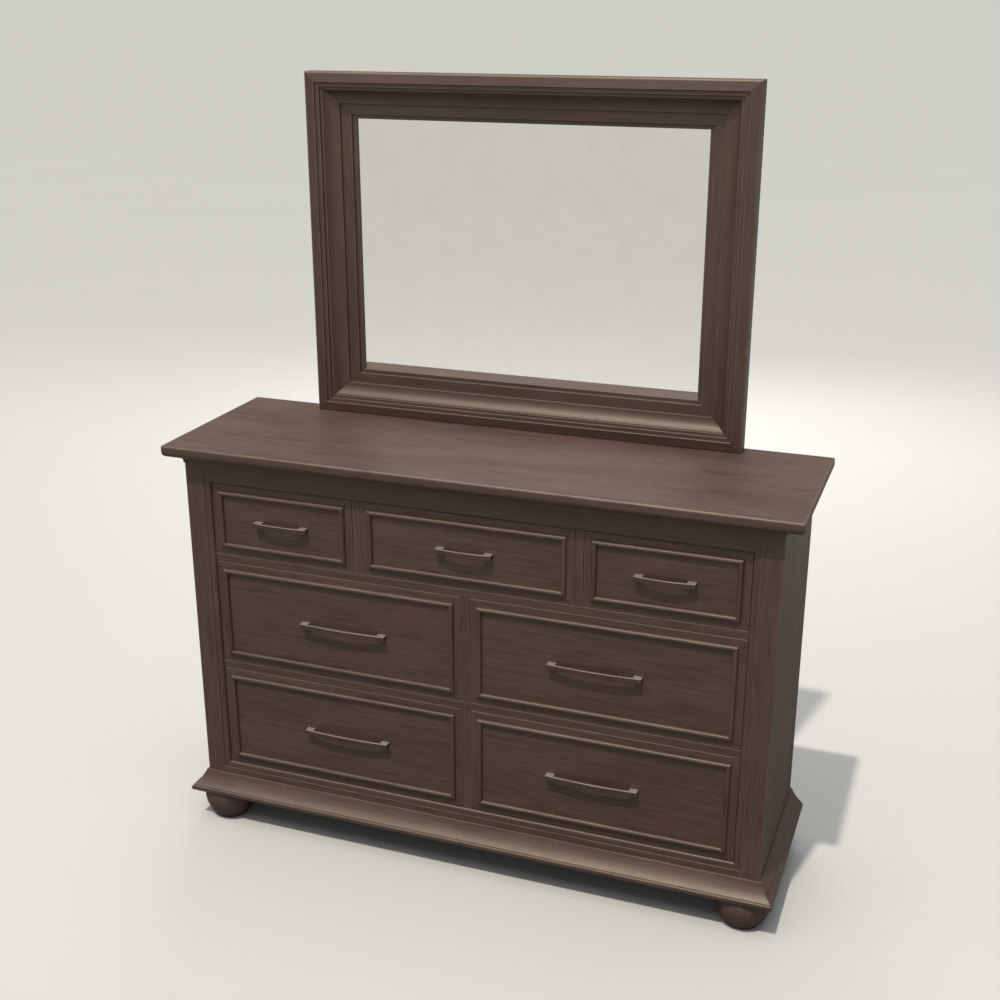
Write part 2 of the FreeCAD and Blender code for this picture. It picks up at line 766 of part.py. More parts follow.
def drawerGuide(name, x, row):
    # Centre guide on the board below the drawer, with a stop near its front end
    left = f"{x} - guide_width / 2"
    length = f"({BACK_INSIDE} - board_thick - {FACE_BACK})"
    return [
        board(f"{name}_guide", left, FACE_BACK, row, "guide_width", length, "guide_height"),
        board(f"{name}_stop", left, f"{FACE_BACK} + stop_setback", f"{row} + guide_height",
              "guide_width", "stop_length", "stop_height"),
    ]


def mirrorMoulding(stretch):
    # Section and width of the frame's moulding, with the rebate for the glass and the back bevel
    cove_run = f"({stretch} * (hollow_end - hollow_start))"
    cove_drop = "(hollow_depth - step_two_depth)"
    corners = [
        ("0", "0", "mirror_round"),
        ("0", "band_width"),
        ("band_ledge", "band_width"),
        ("band_ledge", "step_one"),
        ("step_one_depth", "step_one"),
        ("step_one_depth", "step_two"),
        ("step_two_depth", "step_two"),
        ("step_two_depth", "hollow_start", "arc",
         f"(({cove_run} ^ 2 + {cove_drop} ^ 2) / (2 * {cove_drop}))", 1),
        ("hollow_depth", "hollow_end"),
        ("fascia_depth", "hollow_end"),
        ("fascia_depth", "fascia_end"),
        ("lip_depth", "fascia_end"),
        ("lip_depth", "frame_width"),
        ("glass_depth", "frame_width"),
        ("glass_depth", "frame_width - glass_rebate"),
        ("mirror_depth", "frame_width - glass_rebate"),
        ("mirror_depth", "bevel_width"),
        ("mirror_depth - bevel_depth", "0"),
    ]
    section = [
        (depth, width if width == "0" else f"{stretch} * ({width})", *rest)
        for depth, width, *rest in corners
    ]
    return section, f"({stretch} * frame_width)"


def buildMirror(screw_bores):
    names = [f"mirror_{side}" for side in ("bottom_rail", "right_stile", "top_rail", "left_stile")]
    bases = [f"{name}_moulding" for name in names]
    members = mitredFrame(bases, mirrorMoulding("1"), mirrorMoulding("stile_stretch"),
                          "mirror_width", "mirror_height", MIRROR_FRONT, TOP_SURFACE)
    for name, member in zip(names, members):
        bored = name.endswith("rail")
        node(cut(name, member, screw_bores) if bored else member, name)

    inset_x = "(stile_stretch * (frame_width - glass_rebate) + glass_play)"
    inset_z = "(frame_width - glass_rebate + glass_play)"
    width = f"(mirror_width - 2 * {inset_x})"
    height = f"(mirror_height - 2 * {inset_z})"
    backed = "(glass_depth + glass_thick)"
    layers = {
        "mirror_glass": ("glass_depth", "glass_thick"),
        "mirror_back": (backed, f"mirror_depth - {backed}"),
    }
    for name, (depth, thick) in layers.items():
        pane = board(name, f"-{width} / 2", f"{MIRROR_FRONT} + {depth}", f"{TOP_SURFACE} + {inset_z}",
                     width, thick, height)
        node(pane, name)


def screwSpots():
    # Two screws into the case and two into the mirror frame on each batten
    case_z = f"{TOP_UNDERSIDE} - case_screw_drop"
    heights = (
        case_z,
        f"{case_z} - case_screw_pitch",
        f"{TOP_SURFACE} + mirror_screw_inset",
        f"{TOP_SURFACE} + mirror_height - mirror_screw_inset",
    )
    return [(f"{side} * support_offset", z) for side in (-1, 1) for z in heights]


def buildSupports(spots):
    height = f"({TOP_SURFACE} + mirror_height - support_top_inset - support_foot)"
    seat = f"({BACK_PLANE} + support_thick - wood_head_sink)"
    tip = f"({BACK_PLANE} - wood_screw_reach)"
    bores, sinks, screws = [], [], []
    for index, (x, z) in enumerate(spots):
        bores.append(rod(f"wood_bore_{index}", x, tip, z, "wood_screw_bore", f"{seat} - {tip}"))
        sinks.append(rod(f"wood_sink_{index}", x, seat, z, "wood_head_bore", "wood_head_sink"))
        screws.append(screw(f"wood_screw_{index}", x, tip, seat, z,
                            "wood_screw_radius", "wood_head_radius", "wood_head"))
    screw_bores = fuse("wood_bores", bores)
    holes = fuse("batten_holes", [screw_bores] + sinks)
    battens = []
    for index, side in enumerate((-1, 1)):
        blank = board(f"batten_board_{index}", f"{side} * support_offset - support_width / 2", BACK_PLANE,
                      "support_foot", "support_width", "support_thick", height)
        battens.append(cut(f"batten_{index}", blank, holes))
    group("mirror_supports", battens)
    group("support_screws", screws)
    return screw_bores


def checkAndWrite():
    doc.recompute()
    failed = [item.Name for item in doc.Objects if {"Invalid", "Error"} & set(item.State)]
    failed += [item.Label for item in nodes if item.Shape.isNull() or not item.Shape.isValid()]
    if failed:
        raise RuntimeError(f"failed: {failed}")
    os.makedirs("parts", exist_ok=True)
    for item in nodes:
        item.Shape.exportStep(os.path.join("parts", f"{item.Label}.step"))
        print(f"{item.Label}: {len(item.Shape.Solids)} solids, {item.Shape.Volume / 1000:.1f} cm3")
    print(f"{len(nodes)} nodes")


fillSheet()
batten_bores = buildSupports(screwSpots())
buildTop()
buildEnds()
buildFaceFrame()
buildCarcase(batten_bores)
buildBase()
buildDrawers()
buildMirror(batten_bores)
checkAndWrite()
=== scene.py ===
import json
import math
import random

import bmesh
import bpy
from mathutils import Matrix, Vector


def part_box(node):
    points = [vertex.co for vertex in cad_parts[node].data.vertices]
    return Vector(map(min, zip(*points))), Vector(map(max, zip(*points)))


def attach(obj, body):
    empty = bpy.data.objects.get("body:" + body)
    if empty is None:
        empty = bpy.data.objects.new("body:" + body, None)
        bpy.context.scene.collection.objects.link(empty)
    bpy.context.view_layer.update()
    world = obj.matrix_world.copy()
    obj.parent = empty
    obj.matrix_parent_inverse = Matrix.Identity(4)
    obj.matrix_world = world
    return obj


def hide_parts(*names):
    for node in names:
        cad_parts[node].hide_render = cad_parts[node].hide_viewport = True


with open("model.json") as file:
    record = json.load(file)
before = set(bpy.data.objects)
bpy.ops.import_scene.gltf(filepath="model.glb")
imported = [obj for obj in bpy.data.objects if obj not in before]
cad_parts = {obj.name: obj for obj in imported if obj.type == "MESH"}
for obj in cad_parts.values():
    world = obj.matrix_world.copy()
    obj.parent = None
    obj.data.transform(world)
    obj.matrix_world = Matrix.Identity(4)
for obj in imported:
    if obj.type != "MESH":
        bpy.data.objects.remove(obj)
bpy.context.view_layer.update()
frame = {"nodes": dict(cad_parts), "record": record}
mm = 0.001
record = frame["record"]
bodyOf = {node: body for body, nodes in record["behaviour"]["bodies"].items() for node in nodes}
slotOf = {part["node"]: part["material_slot"] for part in record["subparts"]}
dice = random.Random(41)  # where each length of timber was cut from the log
alongX, alongY, alongZ = Vector((1, 0, 0)), Vector((0, 1, 0)), Vector((0, 0, 1))
print("frame loaded:", len(slotOf), "nodes")


# Node building blocks

def fill(tree, node, values):  # links what comes from another node, sets anything else
    for key, value in values.items():
        if isinstance(value, bpy.types.NodeSocket):
            tree.links.new(value, node.inputs[key])
        else:
            node.inputs[key].default_value = value


def addNode(tree, kind, values=None, **settings):
    node = tree.nodes.new(kind)
    for key, value in settings.items():
        setattr(node, key, value)
    fill(tree, node, values or {})
    return node


def made(tree, kind, values=None, **settings):  # the first output of a new node
    return addNode(tree, kind, values, **settings).outputs[0]


def calc(tree, operation, *values):
    return made(tree, "ShaderNodeMath", dict(enumerate(values)), operation=operation)


def scaled(tree, value, factor, plus=0.0):
    return calc(tree, "MULTIPLY_ADD", value, factor, plus)


def remap(tree, value, low, high, toLow=0.0, toHigh=1.0):  # smooth step between two levels
    values = dict(enumerate((value, low, high, toLow, toHigh)))
    return made(tree, "ShaderNodeMapRange", values, interpolation_type="SMOOTHSTEP")


def vector(tree, x=0.0, y=0.0, z=0.0):
    return made(tree, "ShaderNodeCombineXYZ", {0: x, 1: y, 2: z})


def parts(tree, value):
    return addNode(tree, "ShaderNodeSeparateXYZ", {0: value}).outputs


def mixColour(tree, factor, first, second):
    first, second = ((*side, 1) if isinstance(side, tuple) else side for side in (first, second))
    return addNode(tree, "ShaderNodeMix", {0: factor, 6: first, 7: second}, data_type="RGBA").outputs[2]


def noise(tree, spot, detail=2.0, roughness=0.55, scale=1.0):
    values = {"Vector": spot, "Scale": scale, "Detail": detail, "Roughness": roughness}
    return addNode(tree, "ShaderNodeTexNoise", values).outputs["Fac"]


def streaked(tree, spot, grain, detail=2.0, roughness=0.55):  # noise squeezed into streaks along the grain
    along, across = grain
    spot = made(tree, "ShaderNodeVectorMath", {0: spot, 1: (along, across, across)}, operation="MULTIPLY")
    return noise(tree, spot, detail, roughness)


def newTree(kind, name, inputs, outputs):
    tree = bpy.data.node_groups.new(name, kind)
    for way, sockets in (("INPUT", inputs), ("OUTPUT", outputs)):
        for label, sort in sockets.items():
            tree.interface.new_socket(label, in_out=way, socket_type="NodeSocket" + sort)
    return tree, tree.nodes.new("NodeGroupInput").outputs, tree.nodes.new("NodeGroupOutput")


def newGroup(name, inputs, outputs):
    return newTree("ShaderNodeTree", name, inputs, dict.fromkeys(outputs, "Float"))


# Effects that the finishes share

growth = {"swayGrain": (1.6, 9), "sway": 0.09, "askew": 0.025, "ringGrain": (3, 40), "lateWood": (0.25, 0.88),
          "yearEnd": (0.9, 1.0, 1.0, 0.0), "unevenGrain": (1.3, 14), "uneven": (0.35, 0.65, 0.25, 1.0)}
figure = {  # along and across the grain, detail and roughness of the noise, and the levels it runs between
    "Streaks": (7, 105, 3.0, 0.55, 0.30, 0.70), "Fibre": (7, 420, 3.0, 0.65, 0.28, 0.72),
    "Pores": (30, 900, 1.0, 0.55, 0.58, 0.72), "Clouds": (2.2, 9, 3.0, 0.55, 0.30, 0.70),
    "Blotches": (8, 30, 4.0, 0.60, 0.46, 0.68), "Flecks": (10, 85, 3.0, 0.55, 0.53, 0.68),
}
# Edge tones: arrises lighter as wear plus a painted highlight, inner corners darker as dirt plus painted
# shade
wearAndPaintedLight = {"grain": (16, 70), "rubbed_and_highlit": (1.3, -0.75), "settled_and_shaded": (0.6, -0.3), "wear": (0.3, 1.1),
           "grime": (0.15, 1.0)}
touch = {"smudgeScale": 14.0, "smudge": (0.42, 0.7), "brushing": (60, 1500), "brushRoughness": 0.12,
         "brushDepth": 0.05 * mm}


def makeGrainGroup():
    g = growth
    tree, given, result = newGroup("woodGrain", {"Spot": "Vector", "Ring Pitch": "Float"}, ("Rings", *figure))
    spot = given["Spot"]
    along, sideways, deep = parts(tree, spot)
    sway = streaked(tree, spot, g["swayGrain"])
    across = calc(tree, "ADD", sideways, scaled(tree, sway, g["sway"], -g["sway"] / 2))
    depth = scaled(tree, along, g["askew"], deep)  # an askew heart arches the figure
    radius = calc(tree, "SQRT", scaled(tree, across, across, calc(tree, "POWER", depth, 2.0)))
    rings = calc(tree, "DIVIDE", radius, given["Ring Pitch"])
    year = calc(tree, "FRACT", calc(tree, "ADD", rings, streaked(tree, spot, g["ringGrain"])))
    late = scaled(tree, remap(tree, year, *g["lateWood"]), remap(tree, year, *g["yearEnd"]))
    uneven = remap(tree, streaked(tree, spot, g["unevenGrain"]), *g["uneven"])
    marks = {"Rings": scaled(tree, late, uneven)}
    for label, (length, width, detail, roughness, *levels) in figure.items():
        pattern = streaked(tree, spot, (length, width), detail, roughness)
        marks[label] = remap(tree, pattern, *levels)
    fill(tree, result, marks)
    return tree


def makeWearAndLightGroup():
    tree, given, result = newGroup("edgeWearAndPaintedLight", {"Edge": "Float", "Spot": "Vector"}, ("Wear", "Grime"))
    patchy = streaked(tree, given["Spot"], wearAndPaintedLight["grain"], 3.0)
    # Arrises lightened: rubbed wear together with a painted highlight
    rubbed_and_highlit = calc(tree, "ADD", given["Edge"], scaled(tree, patchy, *wearAndPaintedLight["rubbed_and_highlit"]))
    # Inner corners darkened: settled dirt together with painted shade in creases and seams
    settled_and_shaded = calc(tree, "SUBTRACT", scaled(tree, patchy, *wearAndPaintedLight["settled_and_shaded"]), given["Edge"])
    fill(tree, result, {"Wear": remap(tree, rubbed_and_highlit, *wearAndPaintedLight["wear"]),
                        "Grime": remap(tree, settled_and_shaded, *wearAndPaintedLight["grime"])})
    return tree


def makeSmudgeGroup():
    tree, given, result = newGroup("handling", {"Spot": "Vector"}, ("Smudge", "Brushing"))
    cloudy = noise(tree, given["Spot"], 4.0, 0.6, touch["smudgeScale"])
    brushed = streaked(tree, given["Spot"], touch["brushing"])
    fill(tree, result, {"Smudge": remap(tree, cloudy, *touch["smudge"]), "Brushing": brushed})
    return tree


grainGroup, wearAndLightGroup, smudgeGroup = makeGrainGroup(), makeWearAndLightGroup(), makeSmudgeGroup()


# Finishes

def startMaterial(name):
    material = bpy.data.materials.new(name)
    material.use_nodes = True
    tree = material.node_tree
    tree.nodes.clear()
    shader = tree.nodes.new("ShaderNodeBsdfPrincipled")
    tree.links.new(shader.outputs[0], tree.nodes.new("ShaderNodeOutputMaterial").inputs[0])
    return material, tree, shader


def groupOutputs(tree, group, values):
    return addNode(tree, "ShaderNodeGroup", values, node_tree=group).outputs


def timberSpot(tree):  # place within the timber, carried by each piece with its grain direction first
    return addNode(tree, "ShaderNodeAttribute", attribute_name="grain").outputs["Vector"]


# Edge tones from each piece's edge mark: wear plus painted highlight on arrises, dirt plus painted shade in
# corners
def edgeWearAndPaintedLight(tree, spot):  # from each piece's edge mark: 1 along an arris, -1 in an inner corner
    edge = addNode(tree, "ShaderNodeAttribute", attribute_name="edge").outputs["Fac"]
    return groupOutputs(tree, wearAndLightGroup, {"Spot": spot, "Edge": edge})


def tinted(tree, colour, mask, amount, tint):
    return mixColour(tree, scaled(tree, mask, amount), colour, tint)


def addBump(tree, shader, height, strength, distance):
    values = {"Height": height, "Strength": strength, "Distance": distance}
    fill(tree, shader, {"Normal": made(tree, "ShaderNodeBump", values)})


woodSurface = {"poreRoughness": 0.1, "slant": (0.6, 0.95), "fibreHeight": 0.5, "poreDepth": -0.8,
               "relief": 0.2 * mm}


def makeWood(name, look):
    s = woodSurface
    material, tree, shader = startMaterial(name)
    spot = timberSpot(tree)
    grain = groupOutputs(tree, grainGroup, {"Spot": spot, "Ring Pitch": look["ringPitch"]})
    wear = edgeWearAndPaintedLight(tree, spot)
    tone = scaled(tree, grain["Rings"], -look["rings"], look["lift"])
    for label in ("Clouds", "Streaks", "Fibre"):
        tone = scaled(tree, grain[label], look[label.lower()], tone)
    ramp = addNode(tree, "ShaderNodeValToRGB", {0: tone})
    ramp.color_ramp.elements.new(0.5)
    for stop, shade in zip(ramp.color_ramp.elements, ("dark", "colour", "pale")):
        stop.color = (*look[shade], 1)
    colour = ramp.outputs[0]
    for label, tint in (("Blotches", "blush"), ("Pores", "dark"), ("Flecks", "dark")):
        colour = tinted(tree, colour, grain[label], look[label.lower()], look[tint])
    # Arrises get the pale colour (wear and a painted highlight), inner corners the dark one (dirt and painted
    # shade)
    for label, tint in (("Wear", "bare"), ("Grime", "dirt")):
        colour = tinted(tree, colour, wear[label], look[label.lower()], look[tint])
    rough = scaled(tree, grain["Fibre"], look["roughSpread"], look["roughness"])
    rough = scaled(tree, grain["Pores"], s["poreRoughness"], rough)
    slant = remap(tree, addNode(tree, "ShaderNodeLayerWeight").outputs["Facing"], *s["slant"])
    rough = scaled(tree, slant, look["slantRoughness"], rough)
    fill(tree, shader, {
        "Base Color": colour, "Roughness": rough, "IOR": look["density"], "Specular IOR Level": look["sheen"],
        "Specular Tint": (*look["sheenTint"], 1), "Coat Weight": look["lacquer"],
        "Coat Roughness": look["lacquerRoughness"]})
    height = scaled(tree, grain["Fibre"], s["fibreHeight"])
    height = scaled(tree, grain["Pores"], s["poreDepth"], height)
    addBump(tree, shader, height, look["bump"], s["relief"])
    return material


plainWood = {"streaks": 0.34, "clouds": 0.36, "blotches": 0.3, "grime": 0.5, "density": 1.5,
             "sheenTint": (1.0, 1.0, 1.0), "lacquer": 0.0, "lacquerRoughness": 0.35}
stainedLook = {  # grey-brown stain with a satin sheen
    **plainWood,
    "dark": (0.0355, 0.0190, 0.0158), "colour": (0.0855, 0.0492, 0.0412), "pale": (0.136, 0.0875, 0.0735),
    # The dark corner colour stands for dirt and painted shade; the pale edge colour for wear and a painted
    # highlight
    "bare": (0.255, 0.188, 0.138), "dirt": (0.022, 0.013, 0.011), "blush": (0.110, 0.058, 0.049),
    "ringPitch": 0.016, "rings": 0.22, "streaks": 0.18, "fibre": 0.20, "clouds": 0.26, "lift": 0.24,
    "pores": 0.35, "blotches": 0.7, "flecks": 0.50, "wear": 0.35, "grime": 0.65, "roughness": 0.45,
    "roughSpread": 0.06, "slantRoughness": 0.12, "bump": 0.22, "density": 1.46, "sheen": 0.95,
    "sheenTint": (1.0, 0.92, 0.78),
}
frameLook = {  # the same stain on the plainer timber of the mirror frame
    **stainedLook,
    "rings": 0.06, "streaks": 0.12, "fibre": 0.12, "lift": 0.06, "pores": 0.2, "blotches": 0.3, "flecks": 0.1,
}
innerLook = {  # sawn secondary wood, left bare
    **plainWood,
    "dark": (0.210, 0.135, 0.075), "colour": (0.370, 0.255, 0.150), "pale": (0.480, 0.355, 0.225),
    "bare": (0.520, 0.400, 0.270), "dirt": (0.120, 0.080, 0.050), "blush": (0.380, 0.240, 0.135),
    "ringPitch": 0.009, "rings": 0.34, "fibre": 0.36, "lift": 0.0, "pores": 0.25, "flecks": 0.2, "wear": 0.3,
    "roughness": 0.58, "roughSpread": 0.16, "slantRoughness": 0.3, "bump": 0.5, "sheen": 0.35,
}
drawerLook = {  # pale drawer linings, sealed clear
    **plainWood,
    "dark": (0.330, 0.215, 0.120), "colour": (0.510, 0.370, 0.230), "pale": (0.620, 0.480, 0.325),
    "bare": (0.640, 0.520, 0.370), "dirt": (0.180, 0.120, 0.070), "blush": (0.540, 0.380, 0.225),
    "ringPitch": 0.008, "rings": 0.28, "fibre": 0.34, "lift": 0.02, "pores": 0.2, "flecks": 0.15,
    "wear": 0.25, "roughness": 0.42, "roughSpread": 0.12, "slantRoughness": 0.4, "bump": 0.3, "sheen": 0.45,
    "lacquer": 0.1,
}
boardLook = {  # pressed fibre board
    "dark": (0.120, 0.072, 0.042), "pale": (0.215, 0.140, 0.085), "bare": (0.300, 0.215, 0.140), "wear": 0.4,
    "fleckScale": 620.0, "fleck": (0.35, 0.65), "mottleScale": 9.0, "share": 0.5, "roughness": 0.5,
    "roughSpread": 0.2, "bump": 0.4, "relief": 0.15 * mm,
}
bronzeLook = {
    # The pale colour lights the pulls' upper faces and arrises: wear and a painted highlight
    "colour": (0.092, 0.061, 0.051), "tarnish": (0.076, 0.050, 0.042), "bare": (0.400, 0.322, 0.286),
    "wear": 0.85, "roughness": 0.34, "roughSpread": 0.10, "metal": 0.25, "bump": 0.15,
}
steelLook = {
    "colour": (0.560, 0.560, 0.550), "tarnish": (0.400, 0.390, 0.370), "bare": (0.680, 0.680, 0.670),
    "wear": 0.3, "roughness": 0.28, "roughSpread": 0.2, "metal": 1.0, "bump": 0.15,
}
silverLook = {"colour": (0.900, 0.905, 0.900), "haze": (0.875, 0.880, 0.875), "bounce": (0.15, 0.15, 0.15),
              "roughness": 0.012, "roughSpread": 0.018}


def makeBackingBoard(look):
    material, tree, shader = startMaterial("pressedBoard")
    spot = timberSpot(tree)
    fleck = noise(tree, spot, 3.0, 0.7, look["fleckScale"])
    mottle = noise(tree, spot, 4.0, 0.6, look["mottleScale"])
    tone = scaled(tree, mottle, 1 - look["share"])
    tone = scaled(tree, remap(tree, fleck, *look["fleck"]), look["share"], tone)
    colour = mixColour(tree, tone, look["dark"], look["pale"])
    colour = tinted(tree, colour, edgeWearAndPaintedLight(tree, spot)["Wear"], look["wear"], look["bare"])
    rough = scaled(tree, mottle, look["roughSpread"], look["roughness"])
    fill(tree, shader, {"Base Color": colour, "Roughness": rough})
    addBump(tree, shader, fleck, look["bump"], look["relief"])
    return material


def makeMetal(name, look):
    material, tree, shader = startMaterial(name)
    spot = timberSpot(tree)
    handled = groupOutputs(tree, smudgeGroup, {"Spot": spot})
    colour = mixColour(tree, handled["Smudge"], look["colour"], look["tarnish"])
    colour = tinted(tree, colour, edgeWearAndPaintedLight(tree, spot)["Wear"], look["wear"], look["bare"])
    rough = scaled(tree, handled["Smudge"], look["roughSpread"], look["roughness"])
    rough = scaled(tree, handled["Brushing"], touch["brushRoughness"], rough)
    fill(tree, shader, {"Base Color": colour, "Roughness": rough, "Metallic": look["metal"]})
    addBump(tree, shader, handled["Brushing"], look["bump"], touch["brushDepth"])
    return material


def makeSilvering(look):
    material, tree, shader = startMaterial("silveredGlass")
    place = addNode(tree, "ShaderNodeTexCoord").outputs["Object"]
    handled = groupOutputs(tree, smudgeGroup, {"Spot": place})
    colour = mixColour(tree, handled["Smudge"], look["colour"], look["haze"])
    bounced = tree.nodes.new("ShaderNodeLightPath").outputs["Is Diffuse Ray"]
    colour = mixColour(tree, bounced, colour, look["bounce"])  # throws little light on the wood round it
    rough = scaled(tree, handled["Smudge"], look["roughSpread"], look["roughness"])
    fill(tree, shader, {"Base Color": colour, "Roughness": rough, "Metallic": 1.0})
    return material


finishes = {
    "stained_wood": makeWood("stainedWood", stainedLook),
    "mirror_frame": makeWood("frameWood", frameLook),
    "inner_wood": makeWood("bareWood", innerLook),
    "drawer_wood": makeWood("drawerLining", drawerLook),
    "backing_board": makeBackingBoard(boardLook),
    "bronze": makeMetal("agedBronze", bronzeLook),
    "steel": makeMetal("platedSteel", steelLook),
    "mirror": makeSilvering(silverLook),
}
print("finishes made:", len(finishes))


# Mesh building blocks

softness = {"fade": 2.5 * mm, "boardArris": 0.8 * mm, "sheetArris": 0.4 * mm, "mitreGap": 0.12 * mm,
            "lowWearAndHighlight": 0.35, "sharpAngle": math.radians(32)}
share = {"corner": 0.45, "arris": 0.3, "fade": 0.2}  # the most that softness takes of a side or a thickness
leastRound = 0.2  # keeps the points of a corner apart when its outline is drawn in, in millimetres
squareOn = 0.9999  # a face counts as flat when its normal lies this close to an axis
heart = {"along": (-8, 8), "sideways": (-0.12, 0.12), "deep": (0.03, 0.16)}  # metres from the log's heart


def inMetres(sizes):
    return {name: size * mm for name, size in sizes.items()}


def startPiece():
    bm = bmesh.new()
    bm.verts.layers.float_vector.new("grain")
    bm.verts.layers.float.new("edge")
    return bm


def bridge(bm, rings):  # faces between rings of points, where a ring of one point closes an end
    faces = []
    count = max(len(ring) for ring in rings)
    for lower, upper in zip(rings, rings[1:]):
        for index in range(count):
            after = (index + 1) % count
            loop = [lower[index % len(lower)], lower[after % len(lower)],
                    upper[after % len(upper)], upper[index % len(upper)]]
            faces.append(bm.faces.new(list(dict.fromkeys(loop))))
    return faces


def cutFromLog():
    return Vector([dice.uniform(*reach) for reach in heart.values()])


def markTimber(bm, verts, axes, edgeOf):
    grain, edge = bm.verts.layers.float_vector["grain"], bm.verts.layers.float["edge"]
    shift = cutFromLog()
    for vert in verts:
        vert[grain] = shift + Vector([vert.co.dot(axis) for axis in axes])
        vert[edge] = edgeOf(vert)


def arc(centre, radius, start, end, steps):  # angles in degrees, both ends included
    turns = [math.radians(start + (end - start) * step / steps) for step in range(steps + 1)]
    return [(centre[0] + radius * math.cos(turn), centre[1] + radius * math.sin(turn)) for turn in turns]


def softSection(corners, steps=4, guarded=True):
    # Corners are (u, v) or (u, v, radius) in millimetres. Each rounded one is marked 1 where it stands out
    # and -1 where it is an inner corner, and plain guard points beside it keep the mark close to it.
    points = [Vector(corner[:2]) * mm for corner in corners]
    turnsLeft = sum(a.cross(b) for a, b in zip(points, points[1:] + points[:1])) > 0
    section = []
    for index, corner in enumerate(corners):
        here = points[index]
        if len(corner) == 2:
            section.append((here.x, here.y, 0.0))
            continue
        sides = [points[index - 1] - here, points[(index + 1) % len(points)] - here]
        lengths = [side.length for side in sides]
        sides = [side.normalized() for side in sides]
        half = sides[0].angle(sides[1]) / 2
        reach = min(corner[2] * mm / math.tan(half), share["corner"] * min(lengths))
        centre = here + (sides[0] + sides[1]).normalized() * (reach / math.cos(half))
        mark = 1.0 if (sides[0].cross(sides[1]) < 0) == turnsLeft else -1.0
        ends = [here + side * reach - centre for side in sides]
        sweep = ends[0].angle_signed(ends[1])
        guards = [
            [here + side * (reach + softness["fade"])]
            if guarded and length > 2 * (reach + softness["fade"]) else []
            for side, length in zip(sides, lengths)
        ]
        section += [(point.x, point.y, 0.0) for point in guards[0]]
        for step in range(steps + 1):
            point = centre + Matrix.Rotation(-sweep * step / steps, 2) @ ends[0]
            section.append((point.x, point.y, mark))
        section += [(point.x, point.y, 0.0) for point in guards[1]]
    return section


def addLength(bm, section, origin, axes, span, startCut=(0, 0), endCut=(0, 0)):
    # Runs a section of (u, v, edge) along axes[0], u on axes[1] and v on axes[2]; a cut slants its end
    # by so much for each unit of u and v
    run, uAxis, vAxis = axes
    rings = []
    for place, (slantU, slantV) in zip(span, (startCut, endCut)):
        ring = []
        for u, v, _ in section:
            spot = origin + run * (place + slantU * u + slantV * v) + uAxis * u + vAxis * v
            ring.append(bm.verts.new(spot))
        rings.append(ring)
    marks = {vert: point[2] for ring in rings for vert, point in zip(ring, section)}
    markTimber(bm, marks, (run, vAxis, uAxis), marks.get)
    faces = bridge(bm, rings) + [bm.faces.new(ring) for ring in rings]
    bmesh.ops.recalc_face_normals(bm, faces=faces)


def addBoard(bm, low, high, run, arris=None, steps=3):
    # A plain board with every arris eased, its grain along run (0, 1 or 2 for X, Y or Z)
    low, high = Vector(low), Vector(high)
    size = high - low
    thin = min(size)
    arris = min(arris or softness["boardArris"], share["arris"] * thin)
    before = set(bm.verts)
    place = Matrix.Translation((low + high) / 2) @ Matrix.Diagonal((*size, 1))
    cube = bmesh.ops.create_cube(bm, size=1.0, matrix=place)["verts"]
    edges = {edge for vert in cube for edge in vert.link_edges}
    bmesh.ops.bevel(bm, geom=list(edges), offset=arris, segments=steps, profile=0.5, affect="EDGES")
    rounded = [vert for vert in bm.verts if vert not in before]
    bm.normal_update()
    faces = {face for vert in rounded for face in vert.link_faces}
    flats = [face for face in faces if max(abs(part) for part in face.normal) > squareOn]
    fade = min(softness["fade"], share["fade"] * (thin - 2 * arris))
    bmesh.ops.inset_individual(bm, faces=flats, thickness=fade, use_even_offset=True)
    # Rounded arrises are marked for the lighter edge tone: wear and a painted highlight
    worn_and_highlit = set(rounded)
    verts = [vert for vert in bm.verts if vert not in before]
    others = [axis for index, axis in enumerate((alongX, alongY, alongZ)) if index != run]
    axes = ((alongX, alongY, alongZ)[run], *others)
    markTimber(bm, verts, axes, lambda vert: 1.0 if vert in worn_and_highlit else 0.0)


def addStack(bm, outline, height, rounds, fade, origin, axes, handWearAndHighlight=0.0, steps=4):
    # Raises an outline straight up with a round on its lower and upper arris. outline(inset) gives the
    # same points drawn in by that much, in millimetres. The last argument marks the upper face with the
    # worn colour: wear from hands and a painted highlight.
    levels = []
    for radius, top in zip(rounds, (False, True)):
        turns = [math.radians(90 * step / steps) for step in range(steps + 1)]
        wear = 1.0 if top else softness["lowWearAndHighlight"]
        side = [(radius * (1 - math.cos(turn)), radius * (1 - math.sin(turn)), wear) for turn in turns]
        side.insert(0, (0.0, radius + fade, 0.0))
        side.append((radius + fade, 0.0, handWearAndHighlight if top else 0.0))
        if top:
            levels += [(inset, height - drop, mark) for inset, drop, mark in side]
        else:
            levels += [(inset, drop, mark) for inset, drop, mark in reversed(side)]
    uAxis, vAxis, rise = axes
    rings, marks = [], {}
    for inset, level, mark in levels:
        ring = []
        for u, v, corner in outline(inset):
            spot = origin + uAxis * u + vAxis * v + rise * level * mm
            ring.append(bm.verts.new(spot))
            marks[ring[-1]] = max(mark, corner * softness["lowWearAndHighlight"]) if inset <= max(rounds) else mark
        rings.append(ring)
    faces = [bm.faces.new(rings[0]), bm.faces.new(rings[-1])] + bridge(bm, rings)
    bmesh.ops.recalc_face_normals(bm, faces=faces)
    markTimber(bm, marks, (alongX, alongY, alongZ), marks.get)


